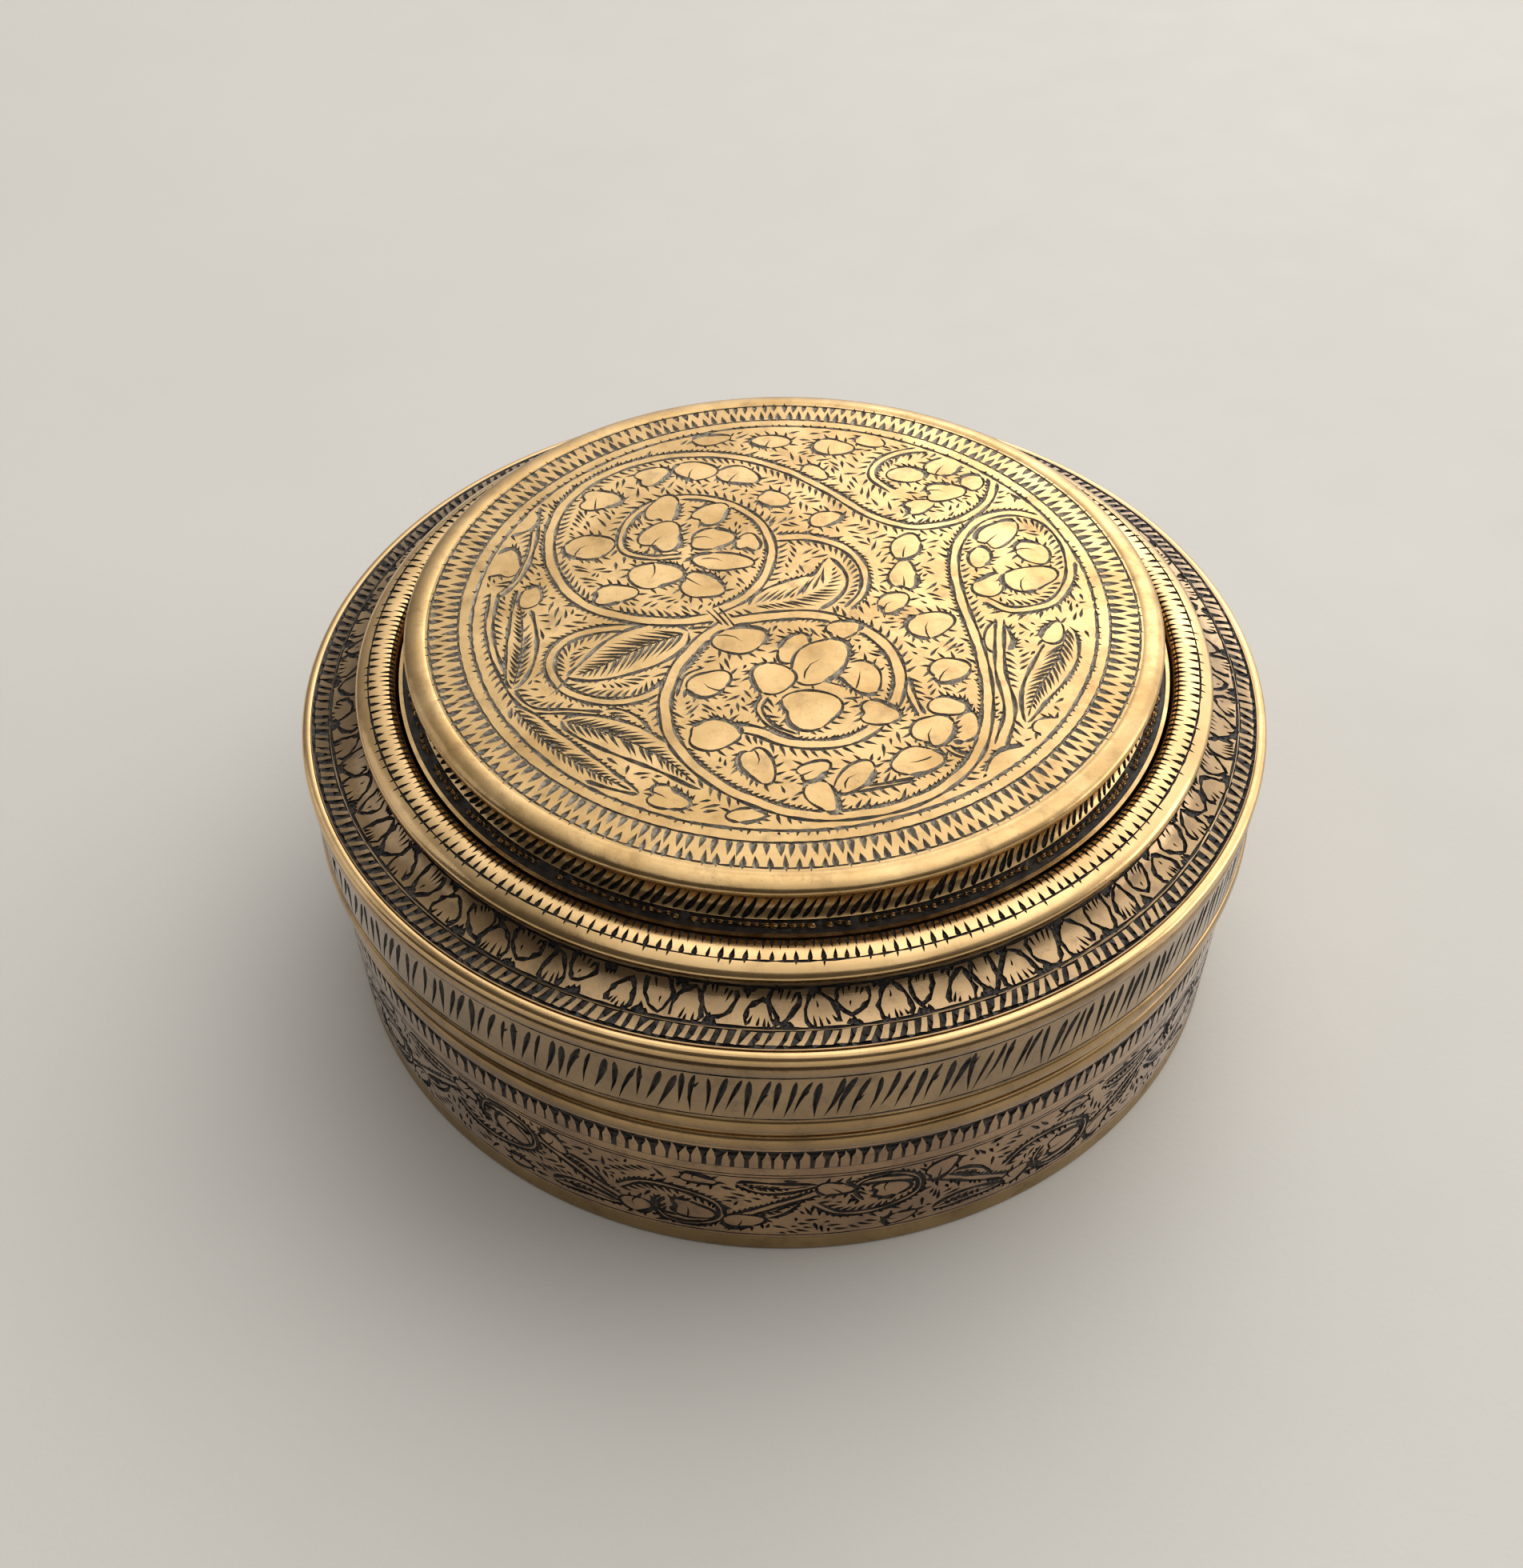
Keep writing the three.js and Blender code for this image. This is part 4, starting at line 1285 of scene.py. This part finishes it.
for node in sorted(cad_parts):
    if node.startswith("cup_"):
        add_cup(node)


SPOON_BOWL_R = 8.5          # mm, over the lip of the bowl
SPOON_DEPTH = 3.4           # mm, inside the bowl
SPOON_SHEET = 0.9           # mm
SPOON_REACH = 45.5          # mm, bowl centre to handle end
SPOON_POINTS = 64           # points round the bowl and round the handle
SPOON_ANGLES = [TAU * k / SPOON_POINTS for k in range(SPOON_POINTS)]


def spoon_bowl(steps=14):
    """Rings of the bowl, from the middle of its inside over the lip to the middle underneath."""
    r, depth, inner = SPOON_BOWL_R, SPOON_DEPTH, SPOON_BOWL_R - SPOON_SHEET * 0.6
    inside = [(inner * t, -depth * (1 - t ** 2.2)) for t in (k / steps for k in range(1, steps + 1))]
    lip = [(inner + 0.25, 0.0), (r - 0.08, -0.05), (r, -0.3)]
    under = [(r * t, -0.3 - (depth + SPOON_SHEET - 0.3) * (1 - t ** 2.1))
             for t in (k / steps for k in range(steps - 1, 0, -1))]
    return [[(a * math.cos(turn), a * math.sin(turn), z) for turn in SPOON_ANGLES]
            for a, z in inside + lip + under]


def spoon_handle(stations=70, middle=-0.76, tip=2.1):
    """Rings of the handle, waisted behind the bowl, with turned collars and a rounded end."""
    rings, start = [], SPOON_BOWL_R - 1.6
    for k in range(stations + 1):
        t = k / stations
        x = start + (SPOON_REACH - start) * t
        wide = 1.7 - 0.55 * math.sin(math.pi * min(1, t * 1.9)) + 0.95 * max(0, t - 0.35) ** 1.2
        end = max(0.0, (x - (SPOON_REACH - tip)) / tip)
        wide *= math.sqrt(max(0.004, 1 - end * end))
        for collar in (0.16, 0.2, 0.9):
            wide += 0.18 * math.exp(-((t - collar) / 0.012) ** 2)
        thick = (0.72 - 0.12 * t) * (1 - 0.55 * end ** 4)
        rings.append([(x, wide * math.copysign(abs(math.cos(a)) ** 0.8, math.cos(a)),
                       middle + thick * math.copysign(abs(math.sin(a)) ** 0.9, math.sin(a)))
                      for a in SPOON_ANGLES])
    return rings


def add_spoon():
    """Spoon of bowl and handle, tilted and turned as it leans in the centre cup."""
    points, faces = [], []
    for rings in (spoon_bowl(), spoon_handle()):
        ids = [[len(points) + k * SPOON_POINTS + i for i in range(SPOON_POINTS)] for k in range(len(rings))]
        points += [q for ring in rings for q in ring]
        for one, two in zip(ids, ids[1:]):
            for k in range(SPOON_POINTS):
                j = (k + 1) % SPOON_POINTS
                faces.append([one[k], two[k], two[j], one[j]])
        faces += [ids[0], ids[-1][::-1]]
    mesh = bpy.data.meshes.new("spoon_beaten")
    tilt, turn = math.radians(36), math.radians(30)
    placed = []
    for x, y, z in points:
        x, z = x * math.cos(tilt) - z * math.sin(tilt), x * math.sin(tilt) + z * math.cos(tilt)
        placed.append((x * math.cos(turn) - y * math.sin(turn), x * math.sin(turn) + y * math.cos(turn), z))
    low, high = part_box("spoon")
    p = np.array(placed)
    shift = [(a + b) / 2 / MM for a, b in zip(low, high)] - (p.min(0) + p.max(0)) / 2
    mesh.from_pydata([tuple(q) for q in (p + shift) * MM], [], faces)
    mesh.polygons.foreach_set("use_smooth", [len(f) == 4 for f in faces])
    mesh.update()
    mesh.materials.append(spoon_metal)
    piece = add_object("spoon_beaten", mesh)
    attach(piece, "spoon")
    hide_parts("spoon")


add_spoon()

# ---------------------------------------------------------------- floor, light, camera
floor_mesh = bpy.data.meshes.new("floor")
floor_mesh.from_pydata([(-3, -3, 0), (3, -3, 0), (3, 3, 0), (-3, 3, 0)], [], [(0, 1, 2, 3)])
floor = add_object("floor", floor_mesh)
paper = Nodes("Pale floor")
floor_mesh.materials.append(paper.done(
    paper.mix(paper.noise(9, 4), (0.67, 0.65, 0.61), (0.74, 0.72, 0.68)),
    paper.math("ADD", paper.math("MULTIPLY", paper.noise(60), 0.2), 0.5),
    paper.bump(paper.noise(900, 3), 0.15, 0.0002), 0.0))


def area_light(name, at, size, power, colour, aim=(0, 0, 0.03)):
    data = bpy.data.lights.new(name, "AREA")
    data.shape, data.size, data.size_y = "RECTANGLE", size[0], size[1]
    data.energy, data.color = power, colour
    lamp = add_object(name, data)
    lamp.location = at
    lamp.rotation_euler = (Vector(aim) - Vector(at)).to_track_quat("-Z", "Y").to_euler()


area_light("window", (0.40, 1.0, 0.66), (0.66, 0.5), 1.5, (1.0, 0.985, 0.95))
area_light("overhead", (0.15, -0.05, 1.3), (1.5, 1.5), 4.2, (1.0, 0.985, 0.96), (0, 0, 0))
area_light("left_wall", (-1.1, 0.3, 0.55), (0.7, 0.9), 1.2, (0.97, 0.98, 1.0))
area_light("right_wall", (1.15, 0.05, 0.34), (0.6, 0.5), 2.0, (1.0, 0.985, 0.96))

world = bpy.data.worlds.new("Soft room")
bpy.context.scene.world = world
world.use_nodes = True
tree = world.node_tree
toward = tree.nodes.new("ShaderNodeTexCoord")
brighter = tree.nodes.new("ShaderNodeVectorMath")
brighter.operation = "DOT_PRODUCT"
brighter.inputs[1].default_value = (0.50, 0.70, 0.51)
room = tree.nodes.new("ShaderNodeValToRGB")
stops = [(0.0, (0.06, 0.054, 0.048)), (0.52, (0.11, 0.10, 0.09)), (0.77, (0.44, 0.425, 0.40)),
         (0.93, (1.50, 1.475, 1.43))]
while len(room.color_ramp.elements) < len(stops):
    room.color_ramp.elements.new(0.5)
for e, (at, colour) in zip(room.color_ramp.elements, stops):
    e.position, e.color = at, (*colour, 1)
half = tree.nodes.new("ShaderNodeMath")
half.operation = "MULTIPLY_ADD"
half.inputs[1].default_value = 0.5
half.inputs[2].default_value = 0.5
tree.links.new(toward.outputs["Generated"], brighter.inputs[0])
tree.links.new(brighter.outputs["Value"], half.inputs[0])
tree.links.new(half.outputs[0], room.inputs[0])
tree.links.new(room.outputs[0], tree.nodes["Background"].inputs["Color"])
tree.nodes["Background"].inputs["Strength"].default_value = 1.1

camera = add_object("camera", bpy.data.cameras.new("camera"))
camera.location = (0, -0.2006, 0.2257)
camera.rotation_euler = (math.radians(46.11), 0, 0)
camera.data.lens = 41.95
camera.data.sensor_width = 36
camera.data.shift_x = -0.0145
camera.data.shift_y = -0.0318
bpy.context.scene.camera = camera
bpy.context.scene.view_settings.view_transform = "Standard"
